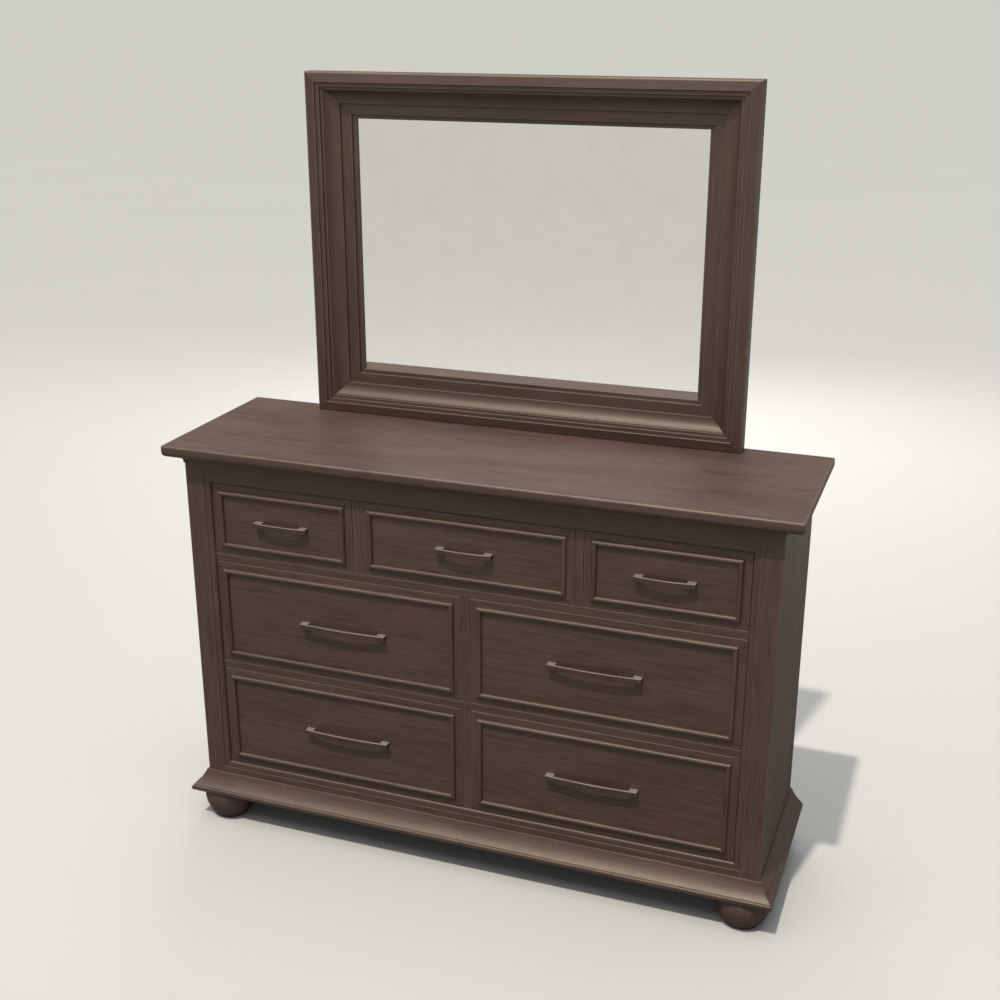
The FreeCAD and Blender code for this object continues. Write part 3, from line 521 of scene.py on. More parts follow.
def addTurning(bm, profile, centre, sides=96):
    # Spins a profile of (radius, height, edge) round an upright axis, closed at both ends on the axis
    rings = []
    marks = {}
    for radius, height, mark in profile:
        count = sides if radius > 1e-6 else 1
        ring = []
        for index in range(count):
            turn = 2 * math.pi * index / count
            spot = centre + Vector((radius * math.cos(turn), radius * math.sin(turn), height))
            ring.append(bm.verts.new(spot))
            marks[ring[-1]] = mark
        rings.append(ring)
    bmesh.ops.recalc_face_normals(bm, faces=bridge(bm, rings))
    markTimber(bm, marks, (alongZ, alongX, alongY), marks.get)


def pieceName(node):
    first, *others = node.split("_")
    return first + "".join(word.capitalize() for word in others)


def settle(piece, node, body):
    if node:
        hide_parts(node)
    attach(piece, body)
    return piece


def finishMesh(mesh, name, finishName):
    mesh.materials.clear()
    mesh.materials.append(finishes[finishName])
    mesh.shade_smooth()
    mesh.set_sharp_from_angle(angle=softness["sharpAngle"])
    piece = bpy.data.objects.new(name, mesh)
    bpy.context.scene.collection.objects.link(piece)
    return piece


def finishPiece(bm, node, finishName=None):
    mesh = bpy.data.meshes.new(pieceName(node))
    bm.to_mesh(mesh)
    bm.free()
    piece = finishMesh(mesh, pieceName(node), finishName or slotOf[node])
    return settle(piece, node, bodyOf[node])


def boardPiece(node, run, arris=None):  # a node that is one plain board
    bm = startPiece()
    addBoard(bm, *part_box(node), run, arris)
    finishPiece(bm, node)


def lengthPiece(node, *length):  # a node that is one length of a section
    bm = startPiece()
    addLength(bm, *length)
    finishPiece(bm, node)


def pairOf(node, axis, width):  # the two ends of a node's box, each of one width
    low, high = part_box(node)
    firstHigh, secondLow = high.copy(), low.copy()
    firstHigh[axis] = low[axis] + width
    secondLow[axis] = high[axis] - width
    return (low, firstHigh), (secondLow, high)


def splitBy(node, board):  # the parts of a node's box below and above a board that divides it
    low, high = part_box(node)
    boardLow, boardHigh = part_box(board)
    return (low, Vector((high.x, high.y, boardLow.z))), (Vector((low.x, low.y, boardHigh.z)), high)


def frameSides(low, high):
    # The four sides of an upright frame: middle of the outer edge, direction, inward direction, half length
    middle = (low + high) / 2
    halfWidth, halfHeight = (high.x - low.x) / 2, (high.z - low.z) / 2
    return {
        "bottom": (Vector((middle.x, low.y, low.z)), alongX, alongZ, halfWidth),
        "right": (Vector((high.x, low.y, middle.z)), alongZ, -alongX, halfHeight),
        "top": (Vector((middle.x, low.y, high.z)), alongX, -alongZ, halfWidth),
        "left": (Vector((low.x, low.y, middle.z)), alongZ, alongX, halfHeight),
    }


def addMitred(bm, section, side, outward, slope=1.0):  # one side of a frame, mitred at both ends
    origin, run, inward, half = side
    half -= softness["mitreGap"]
    addLength(bm, section, origin, (run, outward, inward), (-half, half), (0, slope), (0, -slope))


# Top and the cove under it

topBoard = {"upperRound": 3.5, "lowerRound": 12, "cornerRound": 5}


def buildTop():
    t = topBoard
    low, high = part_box("top_board")
    width, depth = (high.x - low.x) / 2 / mm, (high.y - low.y) / 2 / mm

    def outline(inset):
        x, y, corner = width - inset, depth - inset, max(t["cornerRound"] - inset, leastRound)
        return softSection([(-x, -y, corner), (x, -y, corner), (x, y, corner), (-x, y, corner)], 5, False)

    bm = startPiece()
    centre = Vector(((low.x + high.x) / 2, (low.y + high.y) / 2, low.z))
    addStack(bm, outline, (high.z - low.z) / mm, (t["lowerRound"], t["upperRound"]), softness["fade"] / mm,
             centre, (alongX, alongY, alongZ))
    finishPiece(bm, "top_board")


def skirt(nodes, corners, steps=4):
    # One section round the front and both sides of the case: u outward from the case, v upward
    section = softSection(corners, steps)
    front, left, right = nodes
    reach = max(point[0] for point in section)
    low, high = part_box(front)
    caseHalf, faceY = high.x - reach, low.y + reach
    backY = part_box(right)[1].y
    gap = softness["mitreGap"]
    lengthPiece(front, section, Vector((0, faceY, low.z)), (alongX, -alongY, alongZ),
                (-caseHalf + gap, caseHalf - gap), (-1, 0), (1, 0))
    for node, outward, x in ((left, -alongX, -caseHalf), (right, alongX, caseHalf)):
        foot = Vector((x, 0, low.z))
        lengthPiece(node, section, foot, (alongY, outward, alongZ), (faceY + gap, backY), (-1, 0))


cornice = {"toe": 2, "toeHeight": 3, "toeArris": 0.6, "coveRadius": 13, "reach": 16, "height": 19,
           "arris": 0.5}


def buildCornice():
    c = cornice
    cove = arc((c["toe"] + c["coveRadius"], c["toeHeight"]), c["coveRadius"], 180, 90, 14)
    coveTop = c["toeHeight"] + c["coveRadius"]
    corners = [(0, 0), (c["toe"], 0, c["toeArris"]), *cove, (c["reach"], coveTop, c["arris"]),
               (c["reach"], c["height"], c["arris"]), (0, c["height"])]
    skirt(("cornice_front", "cornice_left", "cornice_right"), corners)


# Face frame and case

faceFrame = {"stile": 64.5, "thick": 30, "arris": 2, "shoulderArris": 1, "railArris": 1.0, "trim": 16,
             "trimDepth": 14, "trimStep": 2, "trimRound": 6, "seam": 0.5, "seamShadeReach": 2.2, "seamShadeWidth": 0.1,
             "endThick": 19, "backRebate": 10, "backThick": 6, "rebateArris": 0.8, "endArris": 1.2,
             "panelArris": 0.5}


def buildEnds():
    f = faceFrame
    shoulder = f["stile"] - f["trim"]
    stileSection = softSection([
        (0, 0, f["arris"]), (shoulder, 0, f["shoulderArris"]), (shoulder, f["trimDepth"]),
        (f["stile"], f["trimDepth"]), (f["stile"], f["thick"]), (0, f["thick"], f["seam"])])
    for side, name in ((-1, "left"), (1, "right")):
        inward = -side * alongX
        for node in (f"{name}_stile", f"{name}_end"):
            low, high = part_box(node)
            section = stileSection
            if node.endswith("end"):
                depth, inner = (high.y - low.y) / mm, f["endThick"]
                rebate, seat = inner - f["backRebate"], depth - f["backThick"]
                section = softSection([
                    (0, 0, f["seam"]), (inner, 0), (inner, seat), (rebate, seat),
                    (rebate, depth, f["rebateArris"]), (0, depth, f["endArris"])])
            corner = Vector((high.x if side > 0 else low.x, low.y, 0))
            lengthPiece(node, section, corner, (alongZ, inward, alongY), (low.z, high.z))


def buildFaceFrame():
    f = faceFrame
    lap, layer = f["trim"] * mm, f["trimDepth"] * mm
    for node, top in (("frieze_rail", True), ("bottom_rail", False)):
        low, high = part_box(node)
        faceLow, faceHigh = low.copy(), Vector((high.x, low.y + layer, high.z))
        if top:
            faceLow.z += lap
        else:
            faceHigh.z -= lap
        bm = startPiece()
        addBoard(bm, faceLow, faceHigh, 0, f["seam"] * mm)
        addBoard(bm, (low.x + lap, low.y + layer, low.z), (high.x - lap, high.y, high.z), 0)
        finishPiece(bm, node)

    step, width, radius = f["trimStep"], f["trim"], f["trimRound"]
    quarter = arc((step + radius, width - radius), radius, 180, 90, 10)
    corners = [(step, 0), (step, f["seamShadeReach"]), *quarter, (f["trimDepth"], width), (f["trimDepth"], 0)]
    # The trim's outer edge along the stile's shoulder is marked as an inner corner, drawing a painted shade
    # line along the seam
    section = [(u, v, -1.0 if v < f["seamShadeWidth"] * mm else mark) for u, v, mark in softSection(corners)]
    low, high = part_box("opening_trim")
    low = low - alongY * step * mm
    bm = startPiece()
    for side in frameSides(low, high).values():
        addMitred(bm, section, side, alongY)
    finishPiece(bm, "opening_trim")

    for node in ("upper_rail", "lower_rail"):
        low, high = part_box(node)
        deep, tall = (high.y - low.y) / mm, (high.z - low.z) / mm
        section = softSection([(0, 0, f["railArris"]), (deep, 0), (deep, tall), (0, tall, f["railArris"])])
        lengthPiece(node, section, Vector((0, low.y, low.z)), (alongX, alongY, alongZ), (low.x, high.x))

    stacked = splitBy("lower_mullions", "lower_rail")
    wide = stacked[1][1].x - stacked[0][0].x
    for node, places in (("lower_mullions", stacked), ("upper_mullions", pairOf("upper_mullions", 0, wide))):
        bm = startPiece()
        for low, high in places:
            across, deep = wide / mm, (high.y - low.y) / mm
            section = softSection([(0, 0, f["arris"]), (across, 0, f["arris"]), (across, deep), (0, deep)])
            addLength(bm, section, Vector((low.x, low.y, 0)), (alongZ, alongX, alongY), (low.z, high.z))
        finishPiece(bm, node)


def buildCarcase():
    for node in ("upper_dustboard", "lower_dustboard", "bottom_board", "back_rail", "base_board"):
        boardPiece(node, 0)
    boardPiece("back_panel", 2, faceFrame["panelArris"] * mm)
    stacked = splitBy("centre_partitions", "lower_dustboard")
    thick = stacked[1][1].x - stacked[0][0].x
    pairs = {"centre_partitions": stacked, "upper_partitions": pairOf("upper_partitions", 0, thick)}
    for node, places in pairs.items():
        bm = startPiece()
        for place in places:
            addBoard(bm, *place, 1)
        finishPiece(bm, node)


# Base moulding and bun feet

baseMoulding = {"reach": 35, "height": 54, "nose": 16, "noseUnder": 8, "noseOver": 6, "noseTurn": 75,
                "quirk": (30.2, 16.8, 0.4), "lip": (31.2, 17.5, 0.4), "scotia": 85, "ledge": 4,
                "browArris": 0.8}
bunFoot = {"radius": 66, "topRadius": 60, "belly": 60, "sole": 40, "soleRound": 3, "flank": 80,
           "shoulder": 75}


def arcThrough(start, end, radius, steps):  # bulging to the right of the way from start to end
    start, end = Vector(start), Vector(end)
    chord = end - start
    left = Vector((-chord.y, chord.x)).normalized()
    centre = (start + end) / 2 + left * math.sqrt(radius ** 2 - (chord.length / 2) ** 2)
    angles = [math.degrees(math.atan2(*(point - centre).yx)) for point in (start, end)]
    return arc(centre, radius, *angles, steps)


def buildBase():
    b = baseMoulding
    under, over = b["noseUnder"], b["noseOver"]
    nose = arc((b["reach"] - under, under), under, -90, 0, 10)
    nose += arc((b["reach"] - over, b["nose"] - over), over, 0, b["noseTurn"], 10)
    brow = (b["ledge"], b["height"])
    scotia = arcThrough(brow, b["lip"][:2], b["scotia"], 24)[::-1]
    corners = [(0, 0), *nose, b["quirk"], b["lip"], *scotia[1:-1], (*brow, b["browArris"]), (0, b["height"])]
    skirt(("base_front", "base_left", "base_right"), corners, 6)


def buildFeet():
    f = bunFoot
    for node in ("front_feet", "rear_feet"):
        bm = startPiece()
        low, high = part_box(node)
        span, height = (high.y - low.y) / 2, (high.z - low.z) / mm
        belly = (f["radius"], f["belly"])
        flank = arcThrough((f["sole"], f["soleRound"]), belly, f["flank"], 24)
        shoulder = arcThrough(belly, (f["topRadius"], height), f["shoulder"], 8)
        sole = (f["sole"], 0, f["soleRound"] / 2)
        profile = softSection([(0, 0), sole, *flank, *shoulder[1:], (0, height)], 3)
        for x in (low.x + span, high.x - span):
            addTurning(bm, profile, Vector((x, (low.y + high.y) / 2, low.z)))
        finishPiece(bm, node)


# Drawers: beaded fronts, linings, bow pulls

drawerNames = ("top_left", "top_middle", "top_right", "middle_left", "middle_right", "bottom_left",
               "bottom_right")
drawerFront = {"panel": 17, "edge": 3, "rise": 0.4, "field": 3, "grow": 0.9, "beadInset": 24, "beadRadius": 6,
               "beadBase": 5, "arris": 1.2, "panelArris": 0.6, "fieldArris": 0.3}
drawerBox = {"board": 12, "bottom": 5, "bottomLift": 12.5, "runner": 14, "runnerLift": 1, "guide": 20,
             "play": 0.7, "lug": 3, "lugLength": 12, "lugInset": 10, "arris": 1.4}
# The upper faces of the pull take the pale worn colour: wear from hands and a painted highlight
bowPull = {"height": 12, "post": 20, "reach": 21, "bow": 5.5, "bar": 5, "arris": 0.7, "corner": 1.2,
           "fillet": 1.0, "handWearAndHighlight": 1.3, "fade": 0.8}


def buildFront(name):
    d = drawerFront
    node = f"{name}_front"
    low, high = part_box(node)
    grow = Vector((1, 0, 1)) * d["grow"] * mm
    low, high = low - grow, high + grow
    panelY = high.y - d["panel"] * mm
    brow = d["edge"] + d["rise"]
    dip = math.degrees(math.asin((brow - d["beadBase"]) / d["beadRadius"]))
    bead = arc((d["beadBase"], d["beadInset"]), d["beadRadius"], dip - 90, 90, 18)
    section = softSection([(0, 0), (d["edge"], 0, d["arris"]), *bead, (0, d["beadInset"] + d["beadRadius"])])
    lap = d["beadInset"] * mm
    fieldLow = (low.x + lap, panelY - d["field"] * mm, low.z + lap)
    fieldHigh = (high.x - lap, panelY, high.z - lap)
    bm = startPiece()
    addBoard(bm, (low.x, panelY, low.z), high, 0, d["panelArris"] * mm)
    addBoard(bm, fieldLow, fieldHigh, 0, d["fieldArris"] * mm)
    for side in frameSides(Vector((low.x, panelY, low.z)), high).values():
        addMitred(bm, section, side, -alongY)
    finishPiece(bm, node)


def buildBox(name):
    b = inMetres(drawerBox)
    node = f"{name}_box"
    low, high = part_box(node)
    middle = (low.x + high.x) / 2
    thick, arris = b["board"], b["arris"]
    innerLeft, innerRight = low.x + thick, high.x - thick
    floor = low.z + b["bottomLift"]
    deck = floor + b["bottom"]
    bm = startPiece()
    addBoard(bm, low, (innerLeft, high.y, high.z), 1, arris)
    addBoard(bm, (innerRight, low.y, low.z), high, 1, arris)
    addBoard(bm, (innerLeft, low.y, floor), (innerRight, high.y, deck), 0)
    for start in (low.y, high.y - thick):
        addBoard(bm, (innerLeft, start, deck), (innerRight, start + thick, high.z), 0, arris)
    channel = b["guide"] / 2 + b["play"]
    for left in (middle - channel - b["runner"], middle + channel):
        addBoard(bm, (left, low.y, low.z + b["runnerLift"]), (left + b["runner"], high.y, floor), 1)
    lugEnd = high.y - b["lugInset"]
    addBoard(bm, (middle - b["guide"] / 2, lugEnd - b["lugLength"], floor - b["lug"]),
             (middle + b["guide"] / 2, lugEnd, floor), 0, softness["sheetArris"])
    finishPiece(bm, node)


def pullOutline(half, inset):  # from above, in millimetres, drawn in by inset everywhere but at the foot
    p = bowPull
    crest = (half ** 2 + p["bow"] ** 2) / (2 * p["bow"])
    centre = (0, p["reach"] - crest)
    outerX, innerX = half - inset, half - p["post"] + inset
    outerRadius, innerRadius = crest - inset, crest - p["bar"] + inset
    lean = math.degrees(math.asin(outerX / outerRadius))
    innerLean = math.degrees(math.asin(innerX / innerRadius))
    outer = arc(centre, outerRadius, 90 - lean, 90 + lean, 36)
    inner = arc(centre, innerRadius, 90 + innerLean, 90 - innerLean, 28)
    corner, fillet = max(p["corner"] - inset, leastRound), p["fillet"] + inset
    return softSection([
        (outerX, 0), (*outer[0], corner), *outer[1:-1], (*outer[-1], corner), (-outerX, 0),
        (-innerX, 0), (*inner[0], fillet), *inner[1:-1], (*inner[-1], fillet), (innerX, 0)], 5, False)


def buildPull(name):
    p = bowPull
    node = f"{name}_pull"
    low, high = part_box(node)
    half = (high.x - low.x) / 2 / mm
    footY = low.y + (p["reach"] - drawerFront["field"]) * mm  # the pull stands on the field
    middle = Vector(((low.x + high.x) / 2, footY, (low.z + high.z) / 2))
    bm = startPiece()
    addStack(bm, lambda inset: pullOutline(half, inset), p["height"], (p["arris"], p["arris"]), p["fade"],
             middle - alongZ * p["height"] / 2 * mm, (alongX, -alongY, alongZ), p["handWearAndHighlight"])
    finishPiece(bm, node)


guides = {"width": 20, "height": 9, "stopLength": 12, "stopSetback": 66, "stopHeight": 2.5}


def buildGuides():
    g = inMetres(guides)
    low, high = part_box("drawer_guides")
    bm = startPiece()
    for name in drawerNames:
        boxLow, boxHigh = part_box(f"{name}_box")
        left = (boxLow.x + boxHigh.x - g["width"]) / 2
        right, foot = left + g["width"], boxLow.z
        stop, deck = low.y + g["stopSetback"], foot + g["height"]
        addBoard(bm, (left, low.y, foot), (right, high.y, deck), 1)
        addBoard(bm, (left, stop, deck), (right, stop + g["stopLength"], deck + g["stopHeight"]), 0,
                 softness["sheetArris"])
    finishPiece(bm, "drawer_guides")


# Mirror in its moulded frame, with backing and battens

mirrorFrame = {"band": 24.5, "bandSlant": 4, "bandRound": 4, "ledge": 4.5, "stepOne": (34.5, 10),
               "stepTwo": (41.5, 13), "hollow": (43.5, 73.5), "hollowDepth": 29, "fascia": (99.5, 35),
               "lip": (109.5, 40.5), "glassDepth": 47, "rebate": 10, "depth": 54, "bevel": (12, 10),
               "stileStretch": 1.073}
mirrorArris = {"band": 1.2, "step": 0.9, "stepOneFoot": 0.5, "stepTwoFoot": 0.4, "hollow": 0.8, "fascia": 1,
               "lip": 1.2, "foot": 0.6, "back": 1}
batten = {"width": 70, "arris": 2, "seatRadius": 6, "seatDepth": 3, "seatSides": 32, "caseScrews": (20, 46),
          "mirrorScrew": 60}


def mirrorSection(stretch):  # the stiles are the same moulding, a little wider than the rails
    m, a = mirrorFrame, mirrorArris
    startV, endV = m["hollow"]
    rise, fall = endV - startV, m["hollowDepth"] - m["stepTwo"][1]
    radius = (rise ** 2 + fall ** 2) / (2 * fall)
    lean = math.degrees(math.asin(rise / radius))
    hollow = arc((m["hollowDepth"] - radius, endV), radius, -lean, 0, 16)
    oneAt, oneDepth = m["stepOne"]
    twoAt, twoDepth = m["stepTwo"]
    fasciaEnd, fasciaDepth = m["fascia"]
    lipEnd, lipDepth = m["lip"]
    bevelWidth, bevelDepth = m["bevel"]
    glassEdge = lipEnd - m["rebate"]
    corners = [
        (m["bandSlant"], 0, m["bandRound"]), (0, m["band"], a["band"]), (m["ledge"], m["band"], a["foot"]),
        (m["ledge"], oneAt, a["step"]), (oneDepth, oneAt, a["stepOneFoot"]),
        (oneDepth, twoAt, a["step"]), (twoDepth, twoAt, a["stepTwoFoot"]),
        *hollow[:-1], (*hollow[-1], a["hollow"]), (fasciaDepth, endV, a["foot"]),
        (fasciaDepth, fasciaEnd, a["fascia"]), (lipDepth, fasciaEnd, a["foot"]), (lipDepth, lipEnd, a["lip"]),
        (m["glassDepth"], lipEnd), (m["glassDepth"], glassEdge), (m["depth"], glassEdge),
        (m["depth"], bevelWidth, a["back"]), (m["depth"] - bevelDepth, 0, a["back"])]
    return softSection([(depth, across * stretch, *rest) for depth, across, *rest in corners])


def sinkSeats(bm, low, high, heights):
    # Opens the flat back of a batten and lowers a round seat into it for each screw head
    grain = bm.verts.layers.float_vector["grain"]
    bm.normal_update()
    backs = [face for face in bm.faces if face.normal.y > squareOn]
    backs = [face for face in backs if low.x < face.calc_center_median().x < high.x]
    flat = max(backs, key=lambda face: face.calc_area())
    outline, known = list(flat.edges), flat.verts[0]
    bm.faces.remove(flat)
    radius, depth, sides = batten["seatRadius"] * mm, batten["seatDepth"] * mm, batten["seatSides"]
    for height in heights:
        rings = []
        for sink in (0, depth):
            ring = []
            for index in range(sides):
                turn = 2 * math.pi * index / sides
                vert = bm.verts.new(((low.x + high.x) / 2 + radius * math.cos(turn), high.y - sink,
                                     height + radius * math.sin(turn)))
                step = vert.co - known.co
                vert[grain] = known[grain] + Vector((step.z, step.x, step.y))
                ring.append(vert)
            rings.append(ring)
        bridge(bm, rings)
        rim, foot = rings
        outline += [bm.edges.get(pair) for pair in zip(rim, rim[1:] + rim[:1])]
        bm.faces.new(foot)
    bmesh.ops.triangle_fill(bm, edges=outline, use_beauty=True, normal=alongY)
    bmesh.ops.recalc_face_normals(bm, faces=bm.faces[:])


def battenScrewHeights():
    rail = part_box("back_rail")[1].z
    foot, top = [corner.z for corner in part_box("mirror_left_stile")]
    inset = batten["mirrorScrew"] * mm
    return [rail - drop * mm for drop in batten["caseScrews"]] + [foot + inset, top - inset]


def buildMirror():
    stretch = mirrorFrame["stileStretch"]
    nodes = {"bottom": "mirror_bottom_rail", "right": "mirror_right_stile", "top": "mirror_top_rail",
             "left": "mirror_left_stile"}
    boxes = [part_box(node) for node in nodes.values()]
    low = Vector([min(box[0][axis] for box in boxes) for axis in range(3)])
    high = Vector([max(box[1][axis] for box in boxes) for axis in range(3)])
    for name, side in frameSides(low, high).items():
        wider, slope = (stretch, 1 / stretch) if name in ("left", "right") else (1.0, stretch)
        bm = startPiece()
        addMitred(bm, mirrorSection(wider), side, alongY, slope)
        finishPiece(bm, nodes[name], "mirror_frame")
    for node in ("mirror_glass", "mirror_back"):
        boardPiece(node, 0, softness["sheetArris"])
    bm = startPiece()
    for place in pairOf("mirror_supports", 0, batten["width"] * mm):
        addBoard(bm, *place, 2, batten["arris"] * mm)
        sinkSeats(bm, *place, battenScrewHeights())
    finishPiece(bm, "mirror_supports")


buildTop()
buildCornice()
buildEnds()
buildFaceFrame()
buildCarcase()
buildBase()
buildFeet()
print("case built")
for drawerName in drawerNames:
    buildFront(drawerName)
    buildBox(drawerName)
    buildPull(drawerName)
buildGuides()
print("drawers built:", len(drawerNames))
buildMirror()
print("mirror built")


# Screws, brads and dovetail pins: one tree each, placed on points

def startTree(name, sockets):
    inputs = {**sockets, "Finish": "Material"}
    return newTree("GeometryNodeTree", name, inputs, {"Result": "Geometry"})


def endTree(tree, points, instance, turn, material, result):
    # Instances on points, realised, with the place in the timber stored for the finish
    values = {"Points": points, "Instance": instance, **({"Rotation": turn} if turn else {})}
    real = made(tree, "GeometryNodeRealizeInstances", {0: made(tree, "GeometryNodeInstanceOnPoints", values)})
    values = {"Geometry": real, "Name": "grain", "Value": made(tree, "GeometryNodeInputPosition")}
    stored = made(tree, "GeometryNodeStoreNamedAttribute", values, data_type="FLOAT_VECTOR", domain="POINT")
    fill(tree, result, {0: made(tree, "GeometryNodeSetMaterial", {"Geometry": stored, "Material": material})})
    return tree


def shaped(tree, geometry, **changes):  # moved, turned or scaled
    return made(tree, "GeometryNodeTransform", {"Geometry": geometry, **changes})


def makeScrewTree():
    tree, given, result = startTree("screwHeads", {
        "Spots": "Geometry", "Head Radius": "Float", "Head Height": "Float", "Slot Width": "Float",
        "Slot Length": "Float", "Slot Depth": "Float", "Seed": "Int"})
    radius, height = given["Head Radius"], given["Head Height"]
    dome = made(tree, "GeometryNodeMeshUVSphere", {"Segments": 28, "Rings": 14, "Radius": 1.0})
    cutter = addNode(tree, "GeometryNodeMeshBoolean", operation="DIFFERENCE", solver="EXACT")
    tree.links.new(shaped(tree, dome, Scale=vector(tree, radius, radius, height)), cutter.inputs[0])
    long, wide = scaled(tree, radius, given["Slot Length"]), given["Slot Width"]
    tall = scaled(tree, given["Slot Depth"], 2.0)
    for size in ((long, wide, tall), (wide, long, tall)):  # the two arms of the cross slot
        bar = made(tree, "GeometryNodeMeshCube", {"Size": vector(tree, *size)})
        tree.links.new(shaped(tree, bar, Translation=vector(tree, z=height)), cutter.inputs[1])
    facing = shaped(tree, cutter.outputs[0], Rotation=(-math.pi / 2, 0, 0))
    spin = made(tree, "FunctionNodeRandomValue", {0: (0, 0, 0), 1: (0, math.pi, 0), "Seed": given["Seed"]},
                data_type="FLOAT_VECTOR")
    turn = made(tree, "FunctionNodeEulerToRotation", {0: spin})
    return endTree(tree, given["Spots"], facing, turn, given["Finish"], result)


def makeBradTree():
    tree, given, result = startTree("bradRow", {
        "Path": "Geometry", "Spacing": "Float", "Head Radius": "Float", "Head Height": "Float"})
    line = made(tree, "GeometryNodeMeshToCurve", {0: given["Path"]})
    spots = made(tree, "GeometryNodeCurveToPoints", {"Curve": line, "Length": given["Spacing"]},
                 mode="LENGTH")
    size = vector(tree, given["Head Radius"], given["Head Height"], given["Head Radius"])
    dome = made(tree, "GeometryNodeMeshUVSphere", {"Segments": 12, "Rings": 6, "Radius": 1.0})
    return endTree(tree, spots, shaped(tree, dome, Scale=size), None, given["Finish"], result)


def makePinTree():
    tree, given, result = startTree("dovetailPins", {
        "Spots": "Geometry", "Depth": "Float", "Length": "Float", "Front Width": "Float",
        "Rear Width": "Float"})
    size = vector(tree, given["Depth"], given["Length"], given["Front Width"])
    block = made(tree, "GeometryNodeMeshCube", {"Size": size})
    axis = parts(tree, made(tree, "GeometryNodeInputPosition"))
    behind = calc(tree, "GREATER_THAN", axis[1], 0.0)
    tall = scaled(tree, axis[2], calc(tree, "DIVIDE", given["Rear Width"], given["Front Width"]))
    flare = scaled(tree, behind, calc(tree, "SUBTRACT", tall, axis[2]))
    pin = made(tree, "GeometryNodeSetPosition", {"Geometry": block, "Offset": vector(tree, z=flare)})
    return endTree(tree, given["Spots"], pin, None, given["Finish"], result)


def growFrom(tree, name, spots, links, sizes, slotName, body):
    # Runs a tree on a mesh of points and keeps the result as a plain mesh
    seedMesh = bpy.data.meshes.new(name + "Spots")
    seedMesh.from_pydata([tuple(spot) for spot in spots], links, [])
    carrier = bpy.data.objects.new(name + "Spots", seedMesh)
    bpy.context.scene.collection.objects.link(carrier)
    modifier = carrier.modifiers.new("grow", "NODES")
    modifier.node_group = tree
    for label, value in {**sizes, "Finish": finishes[slotName]}.items():
        modifier[tree.interface.items_tree[label].identifier] = value
    grown = carrier.evaluated_get(bpy.context.evaluated_depsgraph_get())
    mesh = bpy.data.meshes.new_from_object(grown)
    mesh.name = name
    bpy.data.objects.remove(carrier)
    return settle(finishMesh(mesh, name, slotName), None, body)


pullScrew = inMetres({"Head Radius": 4.2, "Head Height": 2.4, "Slot Width": 1.1, "Slot Depth": 1.5})
woodScrew = inMetres({"Head Radius": 5.5, "Head Height": 1.8, "Slot Width": 1.2, "Slot Depth": 1.1})
for screw, seed in ((pullScrew, 5), (woodScrew, 9)):
    screw.update({"Slot Length": 1.15, "Seed": seed})  # the slot's length is in radii of the head
backBrad = inMetres({"Spacing": 95, "Head Radius": 1.5, "Head Height": 0.4})
bradRows = {"backBrads": ("back_panel", 5), "mirrorBrads": ("mirror_back", 6)}  # board, inset in millimetres
pinSize = inMetres({"Depth": 2, "Length": 12, "Front Width": 5, "Rear Width": 9})
pinRow = inMetres({"margin": 18, "pitch": 36, "proud": 0.05, "setback": 0.2})
screwTree, bradTree, pinTree = makeScrewTree(), makeBradTree(), makePinTree()


def addPullScrews(name):
    low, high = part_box(f"{name}_pull")
    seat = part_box(f"{name}_box")[0].y + drawerBox["board"] * mm
    inset = bowPull["post"] / 2 * mm
    spots = [(x, seat, (low.z + high.z) / 2) for x in (low.x + inset, high.x - inset)]
    body = bodyOf[f"{name}_pull"]
    growFrom(screwTree, pieceName(f"{name}_pull_screws"), spots, [], pullScrew, "steel", body)


def addPins(name):
    low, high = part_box(f"{name}_box")
    room = high.z - low.z - 2 * pinRow["margin"]
    count = round(room / pinRow["pitch"])
    heights = [low.z + pinRow["margin"] + room / count * index for index in range(count + 1)]
    inset = pinSize["Depth"] / 2 - pinRow["proud"]
    middle = low.y + pinSize["Length"] / 2 + pinRow["setback"]
    spots = [(x, middle, z) for x in (low.x + inset, high.x - inset) for z in heights]
    growFrom(pinTree, pieceName(f"{name}_pins"), spots, [], pinSize, "drawer_wood", bodyOf[f"{name}_box"])


def addBackFixings():
    low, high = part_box("mirror_supports")
    half, seat = batten["width"] / 2 * mm, high.y - batten["seatDepth"] * mm
    spots = [(x, seat, z) for x in (low.x + half, high.x - half) for z in battenScrewHeights()]
    screws = growFrom(screwTree, "battenScrews", spots, [], woodScrew, "steel", "case")
    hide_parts("support_screws")
    for name, (node, margin) in bradRows.items():
        low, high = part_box(node)
        inset = margin * mm
        left, right, foot, top = low.x + inset, high.x - inset, low.z + inset, high.z - inset
        corners = [(x, high.y, z) for x, z in ((left, foot), (right, foot), (right, top), (left, top))]
        growFrom(bradTree, name, corners, [(0, 1), (1, 2), (2, 3), (3, 0)], backBrad, "steel", "case")


for drawerName in drawerNames:
    addPullScrews(drawerName)
    addPins(drawerName)
addBackFixings()
boltFinish = frame["nodes"]["foot_bolts"].data.materials
boltFinish.clear()
boltFinish.append(finishes["steel"])
print("fixings placed")


# Floor, light and camera

